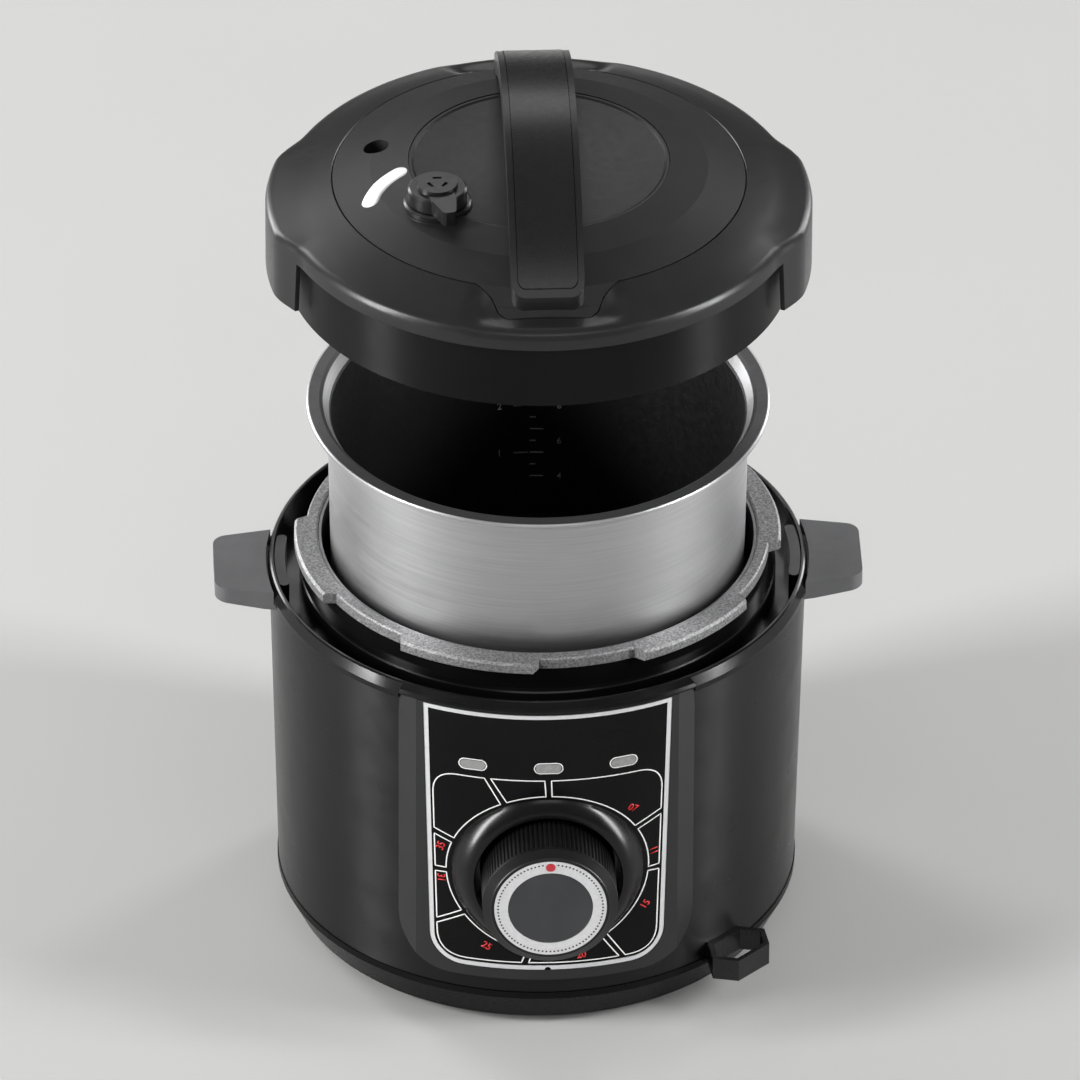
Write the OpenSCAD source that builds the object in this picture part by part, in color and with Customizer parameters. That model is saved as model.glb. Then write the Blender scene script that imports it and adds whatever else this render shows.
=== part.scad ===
// Electric pressure cooker with a mechanical selector dial.
// The pot and the lid are stored lifted off the base, one above the other.
// Millimetres, +Z up, front at -Y, the pot's axis on Z and the worktop at Z = 0.

/* [Inner pot] */
// Outside radius of the pot's body just under its rim
pot_r = 108; // [96:0.5:118]
// How much the pot's body narrows towards the bottom, on the radius
pot_taper = 2.5; // [0:0.5:5]
// Height of the pot from its bottom to the top of its rim
pot_h = 150; // [130:1:180]
// Wall of the pot
pot_wall = 1.8; // [1.2:0.1:3]
// Width of the pot's rim beyond its body
rim_w = 10.5; // [9:0.5:12]
// Thickness of the pot's rim
rim_t = 2.6; // [2:0.1:4]
// Radius of the pot's bottom corner
pot_corner = 12; // [6:1:20]

/* [Base] */
// Height of the hotplate's face, on which the pot stands
seat_z = 74; // [66:0.2:84]
// Gap between the pot and the liner around it
pot_gap = 3.2; // [2:0.1:5]
// Wall of the liner
liner_wall = 1.4; // [1:0.1:2]
// Height of the seam between the shell and the base pan
seam_z = 25; // [20:1:30]
// How much the shell narrows towards the base pan, on the radius
shell_taper = 4; // [0:0.5:5]
// Wall of the shell, the base pan and the top ring
shell_wall = 2; // [1.6:0.1:2.6]
// Height of the base pan above the worktop
foot_h = 3; // [2:0.5:6]
// Room between the lid's skirt and the outside of the shell
shell_room = 9.7; // [9:0.1:16]
// Height of the top ring, from the shell to its crest
ring_h = 9.5; // [8:0.5:13]

/* [Side handles] */
// Reach of each side handle from the pot's axis
handle_reach = 166.5; // [158:0.5:175]
// Width of a side handle where it meets the ring
handle_root_w = 60; // [50:1:70]
// Width of a side handle at its outer end
handle_end_w = 50; // [38:1:52]
// Thickness of a side handle
handle_t = 10.5; // [8:0.5:14]

/* [Bayonet] */
// Number of lobes on the collar and of lugs in the lid
lobe_count = 6; // [5:1:7]
// Radial width of a lobe
lobe_w = 5.8; // [5:0.1:7]
// Thickness of the collar's flange
lobe_t = 6; // [5:0.1:8]
// Height of the collar's flange above the top ring's crest
collar_step = 8.5; // [7:0.5:11]
// Angle that a lobe covers at its tip
lobe_angle = 32; // [28:1:34]
// Angle that a lid lug covers
lug_angle = 19; // [14:1:20]
// Turn of the first lobe's centre from +X
lobe_phase = 10; // [0:1:20]

/* [Lid] */
// Wall of the steel inner lid
lid_wall = 2.4; // [1.6:0.1:3]
// Height of the lid's flange above the collar's top face
lid_rise = 26; // [25:0.5:34]
// Height of the lid's crown above its flange
crown_h = 21; // [17:0.5:24]
// Height of the seam above the lid's flange
seam_h = 10.5; // [8:0.5:13]
// Radius of the sunken disc in the middle of the lid
dish_r = 66.5; // [62:0.5:70]
// Radius of the seam between the lid's cap and its outer cover
cap_r = 105; // [100:0.5:108]
// Reach of the lid's ears from the axis
ear_reach = 139; // [137:0.5:141]
// Width of each ear along the rim
ear_w = 72; // [56:1:80]
// Turn of the ears from the X axis
ear_turn = -5; // [-8:1:0]
// Length of the lid handle
grip_len = 228; // [200:1:232]
// Width of the lid handle
grip_w = 37; // [30:0.5:42]
// Thickness of the lid handle
grip_t = 12; // [9:0.5:14]
// Height of the lid handle's top above the flange
grip_h = 56; // [50:1:64]

/* [Valves] */
// Place of the steam valve left of the axis
valve_x = -53; // [-56:0.5:-50]
// Place of the steam valve in front of the axis
valve_y = -38; // [-42:0.5:-36]
// Radius of the steam valve's knob
valve_r = 15; // [13:0.5:16]
// Place of the float valve left of the axis
float_x = -82; // [-84:0.5:-78]
// Place of the float valve behind the axis
float_y = 21; // [16:0.5:24]
// Radius of the hole above the float valve
float_hole_r = 6.5; // [5.5:0.1:8]

/* [Control panel] */
// Width of the silver trim round the panel
panel_w = 127; // [118:0.5:130]
// Width of the trim near its lower corners
panel_low_w = 119.5; // [110:0.5:127]
// Height of the panel's bottom edge above the worktop
panel_z = 44.5; // [40:0.5:50]
// Radius of the panel's lower corners
panel_corner = 17; // [10:0.5:24]
// Width of the silver trim's line
trim_w = 2.4; // [1.6:0.1:3.5]
// Width of the bezel round the panel
bezel_w = 151; // [146:0.5:158]
// Radius of the bezel's lower corners
bezel_corner = 26; // [18:1:34]
// Radius of the dial's dish
dial_dish_r = 46; // [43:0.5:48]
// Strip of the panel between the dish and the trim below it
dial_gap = 9.8; // [4:0.2:12]
// Radius of the selector knob's grip
knob_r = 34.5; // [31:0.5:36]
// Reach of the knob's face beyond the panel
knob_reach = 29; // [22:0.5:32]
// Number of ridges round the knob
knob_ridges = 90; // [60:6:120]
// Height of the indicator lamps above the worktop
lamp_z = 169; // [162:0.5:176]
// Angle between the indicator lamps round the shell
lamp_step = 15.8; // [14:0.2:17]

/* [Ladle socket] */
// Turn of the ladle socket from the front, towards +X
socket_turn = 43; // [41:1:60]
// Length of the socket along the shell
socket_len = 38; // [32:1:44]
// Depth of the socket across
socket_depth = 22; // [18:1:26]
// Height of the socket's walls
socket_h = 12.5; // [9:0.5:14]

/* [Stored lift] */
// Height at which the pot is stored above its seat
pot_raise = 78; // [70:1:120]
// Height at which the lid is stored above its closed place
lid_raise = 178; // [165:1:220]

/* [Hidden] */
$fn = 96;
// Clearance between seated pieces and between a piece that moves and its seat
seat = 0.3;
// Radial clearance of a running fit
run = 0.1;

// Radii, worked outwards from the pot
rim_r = pot_r + rim_w;
liner_in = pot_r + pot_gap;
liner_r = liner_in + liner_wall;
collar_in = liner_r + seat;
valley_r = rim_r + 0.8;
lobe_r = valley_r + lobe_w;
lid_in = lobe_r + 0.8;
lid_r = lid_in + lid_wall;
lug_in = valley_r + 0.8;
shell_r = lid_r + shell_room;
ring_r = shell_r + 1.5;
seam_r = shell_r - shell_taper;

// Heights, worked upwards from the hotplate
pot_z = seat_z + 0.4;
pot_top = pot_z + pot_h;
collar_top = pot_top - rim_t - seat;
collar_under = collar_top - lobe_t;
crest_z = collar_under - collar_step;
shell_top = crest_z - ring_h;
plate_t = 15;
liner_floor = seat_z - plate_t;

// Lid heights, in its closed place
lug_t = 4;
lug_top = collar_under - 0.5;
skirt_z = crest_z - 4.5;
disc_z = pot_top + 10;
disc_t = 2.2;
flange_z = collar_top + lid_rise;
skirt_top = flange_z - 9.5;
crown_z = flange_z + crown_h;
ear_z = crest_z + 2.5;

// Height of the dial's axis
dial_z = panel_z + trim_w + dial_gap + dial_dish_r;

// Panel radii
panel_r = shell_r + 3.5;
bezel_r = panel_r + 0.8;
panel_top = crest_z - 5.3;
bezel_top = crest_z - 4.5;
bezel_z = panel_z - 6;
dish_floor = panel_r - 10;
// Slant of the panel's sides
lean = atan((panel_w - panel_low_w) / 2 / (panel_top - panel_z));
knob_face = panel_r + knob_reach;

// ---------- shared shapes ----------

function shell_r_at(z) = seam_r + shell_taper * (z - seam_z) / (shell_top - seam_z);
// Points of an arc, as [radius, height] pairs
function arc(cx, cz, r, from, to, steps) =
    [for (i = [0:steps]) let (a = from + (to - from) * i / steps)
        [cx + r * cos(a), cz + r * sin(a)]];

module revolve(points) rotate_extrude() polygon(points);

module tube(r_out, r_in, h) {
    difference() {
        cylinder(r = r_out, h = h);
        translate([0, 0, -1]) cylinder(r = r_in, h = h + 2);
    }
}

// Turns a shape drawn in XY so that it faces the front: its X stays, its Y
// becomes Z and its height runs towards -Y from y = 0
module to_front() rotate([90, 0, 0]) children();

// Shield centred on X: w wide at the top, where its corners are square, with
// sides that lean in by the angle slant and lower corners of the given radius
module shield(w, slant, z_low, z_high, corner) {
    cx = w / 2 - (corner + (z_high - z_low - corner) * sin(slant)) / cos(slant);
    cz = z_low + corner;
    polygon(concat([[-w / 2, z_high], [w / 2, z_high]],
        arc(cx, cz, corner, -slant, -90, 10),
        arc(-cx, cz, corner, -90, slant - 180, 10)));
}

module slot(length, width) {
    translate([-(length - width) / 2, -width / 2]) square([length - width, width]);
    for (side = [-1, 1]) translate([side * (length - width) / 2, 0]) circle(d = width);
}

module at_lobes() for (i = [0:lobe_count - 1])
    rotate([0, 0, lobe_phase + i * 360 / lobe_count]) children();

module lift(h) translate([0, 0, h]) children();
module at_valve() translate([valve_x, valve_y, 0]) children();
module at_float() translate([float_x, float_y, 0]) children();
module at_dial() translate([0, 0, dial_z]) children();

// ---------- base ----------

pan_r = seam_r - 6.5;
pan_t = 2.4;
lap_r = seam_r - shell_wall - 0.2;
foot_pitch = 92;
foot_r = 9;
post_pitch = liner_r - 9;
post_r = 5;
screw_r = 1.8;
vent_rows = [48, 76];
vent_count = 12;

module base_pan() color("#1c1c1d") difference() {
    union() {
        revolve(concat([[0, foot_h]], arc(pan_r - 5, foot_h + 5, 5, -90, -15, 5),
            [[seam_r + 0.5, seam_z - 4], [seam_r + 0.5, seam_z - 0.2],
             [lap_r, seam_z - 0.2], [lap_r, seam_z + 6], [lap_r - 1.8, seam_z + 6],
             [lap_r - 1.8, seam_z - 4], [pan_r - 3, foot_h + 6],
             [pan_r - 6, foot_h + pan_t], [0, foot_h + pan_t]]));
        for (a = [30, 150, 270]) rotate([0, 0, a]) translate([post_pitch, 0, foot_h])
            cylinder(r = post_r, h = liner_floor - 1.6 - foot_h);
    }
    for (a = [45:90:315]) rotate([0, 0, a]) translate([foot_pitch, 0, foot_h - 1])
        cylinder(r = foot_r - 3, h = pan_t + 2);
    for (a = [30, 150, 270]) rotate([0, 0, a]) translate([post_pitch, 0, foot_h - 1]) {
        cylinder(r = 3.6, h = 4);
        cylinder(r = screw_r + seat, h = liner_floor);
    }
    for (row = vent_rows, i = [0:vent_count - 1])
        rotate([0, 0, (i + 0.5) * 360 / vent_count])
            translate([row, 0, foot_h - 1]) linear_extrude(pan_t + 2) slot(18, 4);
}

module rubber_feet() color("#2b2b2b") for (a = [45:90:315])
    rotate([0, 0, a]) translate([foot_pitch, 0, 0]) {
        revolve([[0, 0], [foot_r - 1, 0], [foot_r, 1], [foot_r, foot_h],
            [foot_r - 3.2, foot_h], [foot_r - 3.2, foot_h + pan_t],
            [0, foot_h + pan_t]]);
    }

module base_screws() color("#b9bcc0")
    for (a = [30, 150, 270]) rotate([0, 0, a]) translate([post_pitch, 0, 0]) {
        translate([0, 0, foot_h + 0.4]) cylinder(r = 3.3, h = 2.6);
        translate([0, 0, foot_h + 2]) cylinder(r = screw_r, h = liner_floor - foot_h - 4);
    }

inlet_z = 46;

module housing_shell() color("#101011") difference() {
    revolve([[seam_r, seam_z], [shell_r, shell_top],
        [shell_r - shell_wall, shell_top], [seam_r - shell_wall, seam_z]]);
    // window behind the control panel
    to_front() linear_extrude(shell_r + 5)
        shield(panel_w - 16, lean, panel_z + 8, panel_top - 8, panel_corner - 6);
    at_dial() to_front() cylinder(r = dial_dish_r + 1, h = shell_r + 5);
    // cut-out for the mains inlet
    translate([-14.5, shell_r - 30, inlet_z - 10.5]) cube([29, 40, 21]);
}

channel_r = lid_r + 5.2;
channel_in = lug_in + 2.4;
channel_z = crest_z - 18;
crest_in = ring_r - 4.2;
step_z = crest_z - 4;
neck_r = valley_r - 0.6;
land_in = lid_r + 1.6;
land_top = crest_z - 1.5;
land_angle = 9;
tongue_w = 36;
tongue_z = crest_z - 8;
tongue_t = 3.6;
lap_top_r = shell_r_at(shell_top - 16) - shell_wall - seat;
brow_angle = asin(bezel_w / 2 / bezel_r);

module top_ring() color("#151516") difference() {
    union() {
        difference() {
            revolve([[lap_top_r - 1.8, shell_top - 16], [lap_top_r, shell_top - 16],
                [lap_top_r, shell_top], [ring_r - 0.6, shell_top], [ring_r, shell_top + 0.8],
                [ring_r, shell_top + 3.6], [ring_r - 1.8, crest_z - 0.7],
                [ring_r - 2.6, crest_z], [crest_in + 0.6, crest_z], [crest_in, crest_z - 0.6],
                [channel_r, channel_z], [channel_in, channel_z], [channel_in, step_z - 0.7],
                [channel_in - 0.7, step_z], [neck_r, step_z], [neck_r, collar_under],
                [collar_in + 3.4, collar_under], [collar_in + 3.4, channel_z - 2.4],
                [lap_top_r - 1.8, channel_z - 2.4]]);
            // room for the bezel
            difference() {
                to_front() linear_extrude(bezel_r + 10) bezel_outline(seat);
                cylinder(r = shell_r - 0.1, h = crest_z + 1);
            }
        }
        // flat lands beside the side handles, on which the lid's ears come down
        for (turn = [0, 180]) rotate([0, 0, turn - land_angle])
            rotate_extrude(angle = 2 * land_angle) translate([land_in, channel_z - 1])
                square([crest_in + 0.5 - land_in, land_top - channel_z + 1]);
        for (turn = [0, 180], side = [-1, 1]) rotate([0, 0, turn + side * land_angle])
            translate([(land_in + crest_in) / 2, 0, channel_z - 1])
                cylinder(d = crest_in - land_in, h = land_top - channel_z + 1);
        // brow over the control panel
        rotate([0, 0, 270 - brow_angle]) rotate_extrude(angle = 2 * brow_angle)
            polygon([[ring_r - 4, crest_z - 4.2], [bezel_r + 0.1, crest_z - 4.2],
                [bezel_r + 0.5, crest_z - 3.7], [bezel_r + 0.5, crest_z - 2.9],
                [bezel_r - 0.6, crest_z - 1.6], [ring_r - 2.4, crest_z - 0.2],
                [ring_r - 4, crest_z - 0.2]]);
    }
    for (side = [0, 180]) rotate([0, 0, side])
        translate([land_in + 3, -tongue_w / 2 - seat, tongue_z - seat])
            cube([20, tongue_w + 2 * seat, tongue_t + 2 * seat]);
}

// Side handle on the +X side
module side_handle() color("#191919") {
    handle_top = crest_z - 2;
    round_r = 8;
    difference() {
        union() {
            translate([0, 0, handle_top - handle_t]) linear_extrude(handle_t) hull() {
                translate([ring_r - 8, -handle_root_w / 2]) square([2, handle_root_w]);
                for (side = [-1, 1])
                    translate([handle_reach - round_r, side * (handle_end_w / 2 - round_r)])
                        circle(r = round_r, $fn = 32);
            }
        }
        translate([0, 0, shell_top]) cylinder(r = ring_r + 0.2, h = 40);
        translate([0, 0, shell_top - 60]) cylinder(r = shell_r + 0.2, h = 60.5);
        // finger recess underneath
        translate([ring_r + 6, -handle_end_w / 2 + 9, handle_top - handle_t - 1])
            cube([handle_reach - ring_r - 12, handle_end_w - 18, handle_t / 2]);
        // the underside rises towards the outer end
        translate([ring_r + 2, -60, handle_top - handle_t]) rotate([0, -5, 0])
            translate([0, 0, -20]) cube([60, 120, 20]);
    }
    translate([land_in + 3.5, -tongue_w / 2, tongue_z])
        cube([ring_r - land_in - 2, tongue_w, tongue_t]);
}

module handle_right() side_handle();
module handle_left() rotate([0, 0, 180]) side_handle();

module lobe_wedge(tip, root, z_low, h) {
    translate([0, 0, z_low]) linear_extrude(h) polygon([
        [(valley_r - 4) * cos(root / 2), -(valley_r - 4) * sin(root / 2)],
        [valley_r * cos(root / 2), -valley_r * sin(root / 2)],
        [(lobe_r + 1) * cos(tip / 2), -(lobe_r + 1) * sin(tip / 2)],
        [lobe_r + 9, 0],
        [(lobe_r + 1) * cos(tip / 2), (lobe_r + 1) * sin(tip / 2)],
        [valley_r * cos(root / 2), valley_r * sin(root / 2)],
        [(valley_r - 4) * cos(root / 2), (valley_r - 4) * sin(root / 2)]]);
}

module locking_collar() color("#9a9c9e") {
    revolve([[collar_in, channel_z], [collar_in + 3, channel_z],
        [collar_in + 3, collar_under], [valley_r, collar_under],
        [valley_r, collar_top - 0.8], [valley_r - 0.8, collar_top],
        [collar_in + 1, collar_top], [collar_in, collar_top - 1]]);
    at_lobes() intersection() {
        revolve([[valley_r - 1.2, collar_under], [lobe_r - 0.6, collar_under],
            [lobe_r, collar_under + 0.6], [lobe_r, collar_top - 1.2],
            [lobe_r - 1.2, collar_top], [valley_r - 1.2, collar_top]]);
        lobe_wedge(lobe_angle, lobe_angle + 4, collar_under - 1, lobe_t + 2);
    }
}

liner_floor_in = 92;

module pot_liner() color("#8f9296") revolve([
    [liner_floor_in, liner_floor - 1.4], [liner_r - 6, liner_floor - 1.4],
    [liner_r, liner_floor + 4.6], [liner_r, collar_top - 1.5],
    [liner_in, collar_top - 1.5], [liner_in, liner_floor + 5.2],
    [liner_r - 6.8, liner_floor], [liner_floor_in, liner_floor]]);

plate_r = 90;
sensor_hole_r = 15.5;

module hotplate() color("#a9abad") difference() {
    revolve([[sensor_hole_r, seat_z - 10], [plate_r - 14, seat_z - 10],
        [plate_r - 10, liner_floor + 0.3], [liner_floor_in + 6, liner_floor + 0.3],
        [liner_floor_in + 6, liner_floor + 4], [plate_r, seat_z - 4],
        [plate_r - 3, seat_z - 0.6], [30, seat_z], [sensor_hole_r, seat_z]]);
    // groove that holds the element
    translate([0, 0, seat_z - 10]) rotate_extrude() translate([element_r, 0])
        circle(r = element_d / 2 + 0.2);
}

element_r = 60;
element_d = 8;

module heating_element() color("#6f7276") translate([0, 0, seat_z - 10]) {
    rotate([0, 0, 100]) rotate_extrude(angle = 340) translate([element_r, 0])
        circle(d = element_d, $fn = 24);
    for (a = [104, 76]) rotate([0, 0, a]) translate([element_r, 0, -14])
        cylinder(d = element_d - 3, h = 12.5, $fn = 24);
}

sensor_r = 14;
sensor_travel = 3;
stem_r = 3.5;
bracket_z = seat_z - 27;

module pot_sensor() color("#b5b7b9") revolve([[0, bracket_z - 4], [stem_r, bracket_z - 4],
    [stem_r, seat_z - 10], [sensor_r, seat_z - 8], [sensor_r, seat_z - 1.4],
    [sensor_r - 1, seat_z - 0.2], [0, seat_z - 0.2]]);

module sensor_bracket() color("#7d8084") difference() {
    union() {
        translate([-30, -9, bracket_z]) cube([60, 18, 1.6]);
        for (side = [-1, 1]) translate([side * 25, 0, bracket_z])
            cylinder(r = 4, h = seat_z - 10 - bracket_z);
    }
    translate([0, 0, bracket_z - 1]) cylinder(r = stem_r + run, h = 4);
}

// Coil spring between the bracket and the sensor's cap
spring_turns = 5;
spring_steps = 14;
spring_sides = 6;
spring_coil_r = 6.5;
spring_wire_r = 0.7;

function coil_point(i, k) =
    let (a = 360 * i / spring_steps,
         z = bracket_z + 1.6 + spring_wire_r + 0.2
             + (seat_z - 10 - bracket_z - 2.6 - 2 * spring_wire_r) * i / (spring_turns * spring_steps),
         b = 360 * k / spring_sides,
         r = spring_coil_r + spring_wire_r * cos(b))
    [r * cos(a), r * sin(a), z + spring_wire_r * sin(b)];

module sensor_spring() color("#c9cbcd") {
    rings = spring_turns * spring_steps;
    points = [for (i = [0:rings], k = [0:spring_sides - 1]) coil_point(i, k)];
    sides = [for (i = [0:rings - 1], k = [0:spring_sides - 1])
        let (n = spring_sides, a = i * n + k, b = i * n + (k + 1) % n)
        [a, a + n, b + n, b]];
    start = [for (k = [0:spring_sides - 1]) k];
    finish = [for (k = [spring_sides - 1:-1:0]) rings * spring_sides + k];
    polyhedron(points, concat(sides, [start, finish]), convexity = 8);
}

// ---------- control panel ----------

module panel_outline(inset) shield(panel_w - 2 * inset * (1 / cos(lean) + tan(lean)), lean,
    panel_z + inset, panel_top - inset, panel_corner - inset);

module bezel_outline(grow) shield(bezel_w + 2 * grow, 0, bezel_z - grow, bezel_top + grow,
    bezel_corner + grow);

module front_bezel() color("#141415") difference() {
    intersection() {
        cylinder(r = bezel_r, h = crest_z);
        to_front() linear_extrude(bezel_r + 5) bezel_outline(0);
        // plan of the bezel, with slanted sides
        linear_extrude(crest_z) polygon([[-bezel_w / 2, -60],
            [-bezel_w / 2, -sqrt(pow(shell_r, 2) - pow(bezel_w / 2, 2))],
            [-panel_w / 2 - 2, -sqrt(pow(bezel_r, 2) - pow(panel_w / 2 + 2, 2)) - 1],
            [-panel_w / 2 - 2, -bezel_r - 5], [panel_w / 2 + 2, -bezel_r - 5],
            [panel_w / 2 + 2, -sqrt(pow(bezel_r, 2) - pow(panel_w / 2 + 2, 2)) - 1],
            [bezel_w / 2, -sqrt(pow(shell_r, 2) - pow(bezel_w / 2, 2))],
            [bezel_w / 2, -60]]);
    }
    // the shell behind it
    revolve([[0, 0], [seam_r + 0.2, 0], [seam_r + 0.2, seam_z], [shell_r + 0.2, shell_top],
        [shell_r + 0.2, shell_top + 20], [0, shell_top + 20]]);
    // seat for the panel and its trim
    difference() {
        to_front() linear_extrude(bezel_r + 6) panel_outline(-0.2);
        cylinder(r = panel_r - 1.7, h = crest_z + 20);
    }
    // window for the dial and the lamps
    to_front() linear_extrude(bezel_r + 6) panel_outline(7);
    at_dial() to_front() cylinder(r = dial_dish_r + seat, h = bezel_r + 6);
}

lamp_len = 13;
lamp_h = 5;

module at_lamps() for (i = [-1:1]) rotate([0, 0, i * lamp_step])
    translate([0, 0, lamp_z]) children();

module control_panel() color("#0b0b0c") difference() {
    intersection() {
        tube(panel_r, panel_r - 1.6, crest_z);
        to_front() linear_extrude(panel_r + 6) panel_outline(trim_w);
    }
    at_dial() to_front() cylinder(r = dial_dish_r + seat, h = panel_r + 6);
    at_lamps() to_front() linear_extrude(panel_r + 6) slot(lamp_len + 0.2, lamp_h + 0.2);
}

notch_r = 1.6;

module panel_trim() color("#d5d6d8") difference() {
    intersection() {
        tube(panel_r + 0.4, panel_r - 1.6, crest_z);
        to_front() linear_extrude(panel_r + 6) difference() {
            panel_outline(0);
            panel_outline(trim_w);
        }
    }
    translate([0, 0, panel_z]) to_front() cylinder(r = notch_r, h = panel_r + 6);
}

module indicator_lenses() color("#b9bbbd") intersection() {
    tube(panel_r + 0.3, panel_r - 4, crest_z);
    at_lamps() to_front() linear_extrude(panel_r + 6) slot(lamp_len, lamp_h);
}

board_y = dish_floor - 3;
board_w = panel_w - 26;

module lamp_board() color("#2f5a36") {
    translate([-board_w / 2, -board_y, lamp_z - 9]) cube([board_w, 1.6, 18]);
    intersection() {
        tube(panel_r - 4.3, board_y - 20, shell_top);
        at_lamps() to_front() cylinder(r = 2.2, h = panel_r);
        translate([-board_w / 2, -panel_r, 0]) cube([board_w, panel_r - board_y, shell_top]);
    }
}

dish_floor_r = knob_r + 3.4;
shaft_r = 3;

module dial_dish() color("#0d0d0e") intersection() {
    at_dial() to_front() rotate_extrude() polygon(concat(
        [[shaft_r + 1, dish_floor - 2], [dish_floor_r - 0.5, dish_floor - 2]],
        [for (i = [0:8]) let (a = -90 + i * 90 / 8)
            [dish_floor_r - 0.5 + (dial_dish_r - dish_floor_r + 0.5) * cos(a),
             dish_floor + 11.5 + 13.5 * sin(a)]],
        [[dial_dish_r, dish_floor + 13]],
        [for (i = [8:-1:0]) let (a = -90 + i * 90 / 8)
            [dish_floor_r + (dial_dish_r - dish_floor_r - 0.8) * cos(a),
             dish_floor + 13 + 13 * sin(a)]],
        [[shaft_r + 1, dish_floor]]));
    cylinder(r = panel_r + 0.2, h = shell_top);
}

timer_w = 58;
timer_h = 50;
timer_back = liner_r + 1.8;

module timer_unit() color("#c8c3b4") at_dial() difference() {
    union() {
        translate([-timer_w / 2, -dish_floor + 2.2, -timer_h / 2])
            cube([timer_w, dish_floor - 2.2 - timer_back, timer_h]);
        for (side = [-1, 1]) translate([side * (timer_w / 2 + 3) - 4, -dish_floor + 2.2, -5])
            cube([8, 1.6, 10]);
    }
    to_front() translate([0, 0, timer_back + 2]) cylinder(r = shaft_r + run, h = 40);
}

module timer_shaft() color("#9fa2a6") at_dial() to_front() difference() {
    translate([0, 0, timer_back + 2 + seat])
        cylinder(r = shaft_r, h = knob_face - 11.4 - seat - timer_back);
    // flat that drives the knob
    translate([-shaft_r, shaft_r - 1, knob_face - 22]) cube([2 * shaft_r, 2, 20]);
}

ridge_depth = 0.6;
grip_from = dish_floor + 0.6;
bevel_len = 3;
ring_out = 28.7;
ring_in = 21.7;
pointer_r = 2.4;

module selector_knob() color("#171718") at_dial() to_front() difference() {
    union() {
        translate([0, 0, grip_from]) linear_extrude(knob_face - bevel_len - 2 - grip_from)
            polygon([for (i = [0:knob_ridges - 1], k = [0, 1, 2, 3])
                let (a = 360 * (i + k / 4) / knob_ridges,
                     r = knob_r - (k == 0 || k == 3 ? ridge_depth : 0))
                [r * cos(a), r * sin(a)]]);
        translate([0, 0, knob_face]) revolve([[0, -bevel_len - 2], [knob_r + 0.2, -bevel_len - 2],
            [knob_r + 0.2, -bevel_len], [ring_out + 2, -0.4], [ring_out + 1.6, 0], [0, 0]]);
    }
    // shaft hole, the hollow behind the face and the seats of the ring and cap
    difference() {
        translate([0, 0, grip_from - 1]) cylinder(r = shaft_r + run, h = knob_face - 8 - grip_from);
        translate([-shaft_r, shaft_r - 1 + run, knob_face - 22 + seat]) cube([2 * shaft_r, 2, 20]);
    }
    translate([0, 0, grip_from - 1]) tube(knob_r - 4, 7, knob_face - 10 - grip_from);
    translate([0, 0, knob_face - 1.2]) cylinder(r = ring_out + 0.1, h = 3);
}

module knob_ring() color("#d9dadc") at_dial() difference() {
    to_front() translate([0, 0, knob_face - 1.2]) tube(ring_out, ring_in, 1.4);
    translate([0, 0, (ring_out + ring_in) / 2]) to_front() cylinder(r = pointer_r + 0.1, h = 200);
}

module knob_cap() color("#2c2d30") at_dial() to_front() translate([0, 0, knob_face - 1.2])
    revolve([[0, 0], [ring_in - 0.1, 0], [ring_in - 0.1, 0.9], [ring_in - 0.8, 1.3], [0, 1.3]]);

module knob_pointer() color("#a8333c") translate([0, 0, dial_z + (ring_out + ring_in) / 2])
    to_front() translate([0, 0, knob_face - 1.2]) cylinder(r = pointer_r, h = 1.6);

// ---------- ladle socket and mains inlet ----------

socket_z = seam_z - 3.5;
socket_wall = 2.4;

module long_hexagon(len, depth, inset) {
    half_l = len / 2 - inset * 1.3;
    half_d = depth / 2 - inset;
    polygon([[-half_l, 0], [-half_l + half_d * 0.7, -half_d], [half_l - half_d * 0.7, -half_d],
        [half_l, 0], [half_l - half_d * 0.7, half_d], [-half_l + half_d * 0.7, half_d]]);
}

module ladle_socket() color("#151515") rotate([0, 0, socket_turn]) difference() {
    union() {
        translate([0, -seam_r - socket_depth / 2 - 1.5, socket_z]) linear_extrude(socket_h)
            difference() {
                long_hexagon(socket_len, socket_depth, 0);
                long_hexagon(socket_len, socket_depth, socket_wall);
            }
        // tab that follows the shell
        translate([-socket_len / 2 + 8, -seam_r - 3, seam_z + 1])
            cube([socket_len - 16, 4, socket_z + socket_h - seam_z - 1]);
    }
    revolve([[0, 0], [shell_r_at(0) + 0.3, 0], [shell_r + 0.3, shell_top], [0, shell_top]]);
}

inlet_y = seam_r - 14;

module mains_inlet() color("#222224") difference() {
    union() {
        translate([-18, seam_r - 5, inlet_z - 14]) cube([36, 7.5, 28]);
        translate([-14, inlet_y, inlet_z - 10]) cube([28, 14, 20]);
    }
    // the shell behind the flange
    difference() {
        revolve([[0, 0], [shell_r_at(0) + 0.2, 0], [shell_r + 0.2, shell_top], [0, shell_top]]);
        translate([-14, inlet_y - 1, inlet_z - 10]) cube([28, 40, 20]);
    }
    translate([-12, inlet_y + 2.5, inlet_z - 7.5]) cube([24, 30, 15]);
    for (x = [-7, 0, 7]) translate([x - 1.1, inlet_y - 1, inlet_z - 2.1 + (x == 0 ? 2 : 0)])
        cube([2.2, 5, 4.2]);
}

module inlet_pins() color("#c7a14a")
    for (x = [-7, 0, 7]) translate([x - 1, inlet_y - 5, inlet_z - 2 + (x == 0 ? 2 : 0)])
        cube([2, 17, 4]);

// ---------- inner pot ----------

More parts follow.
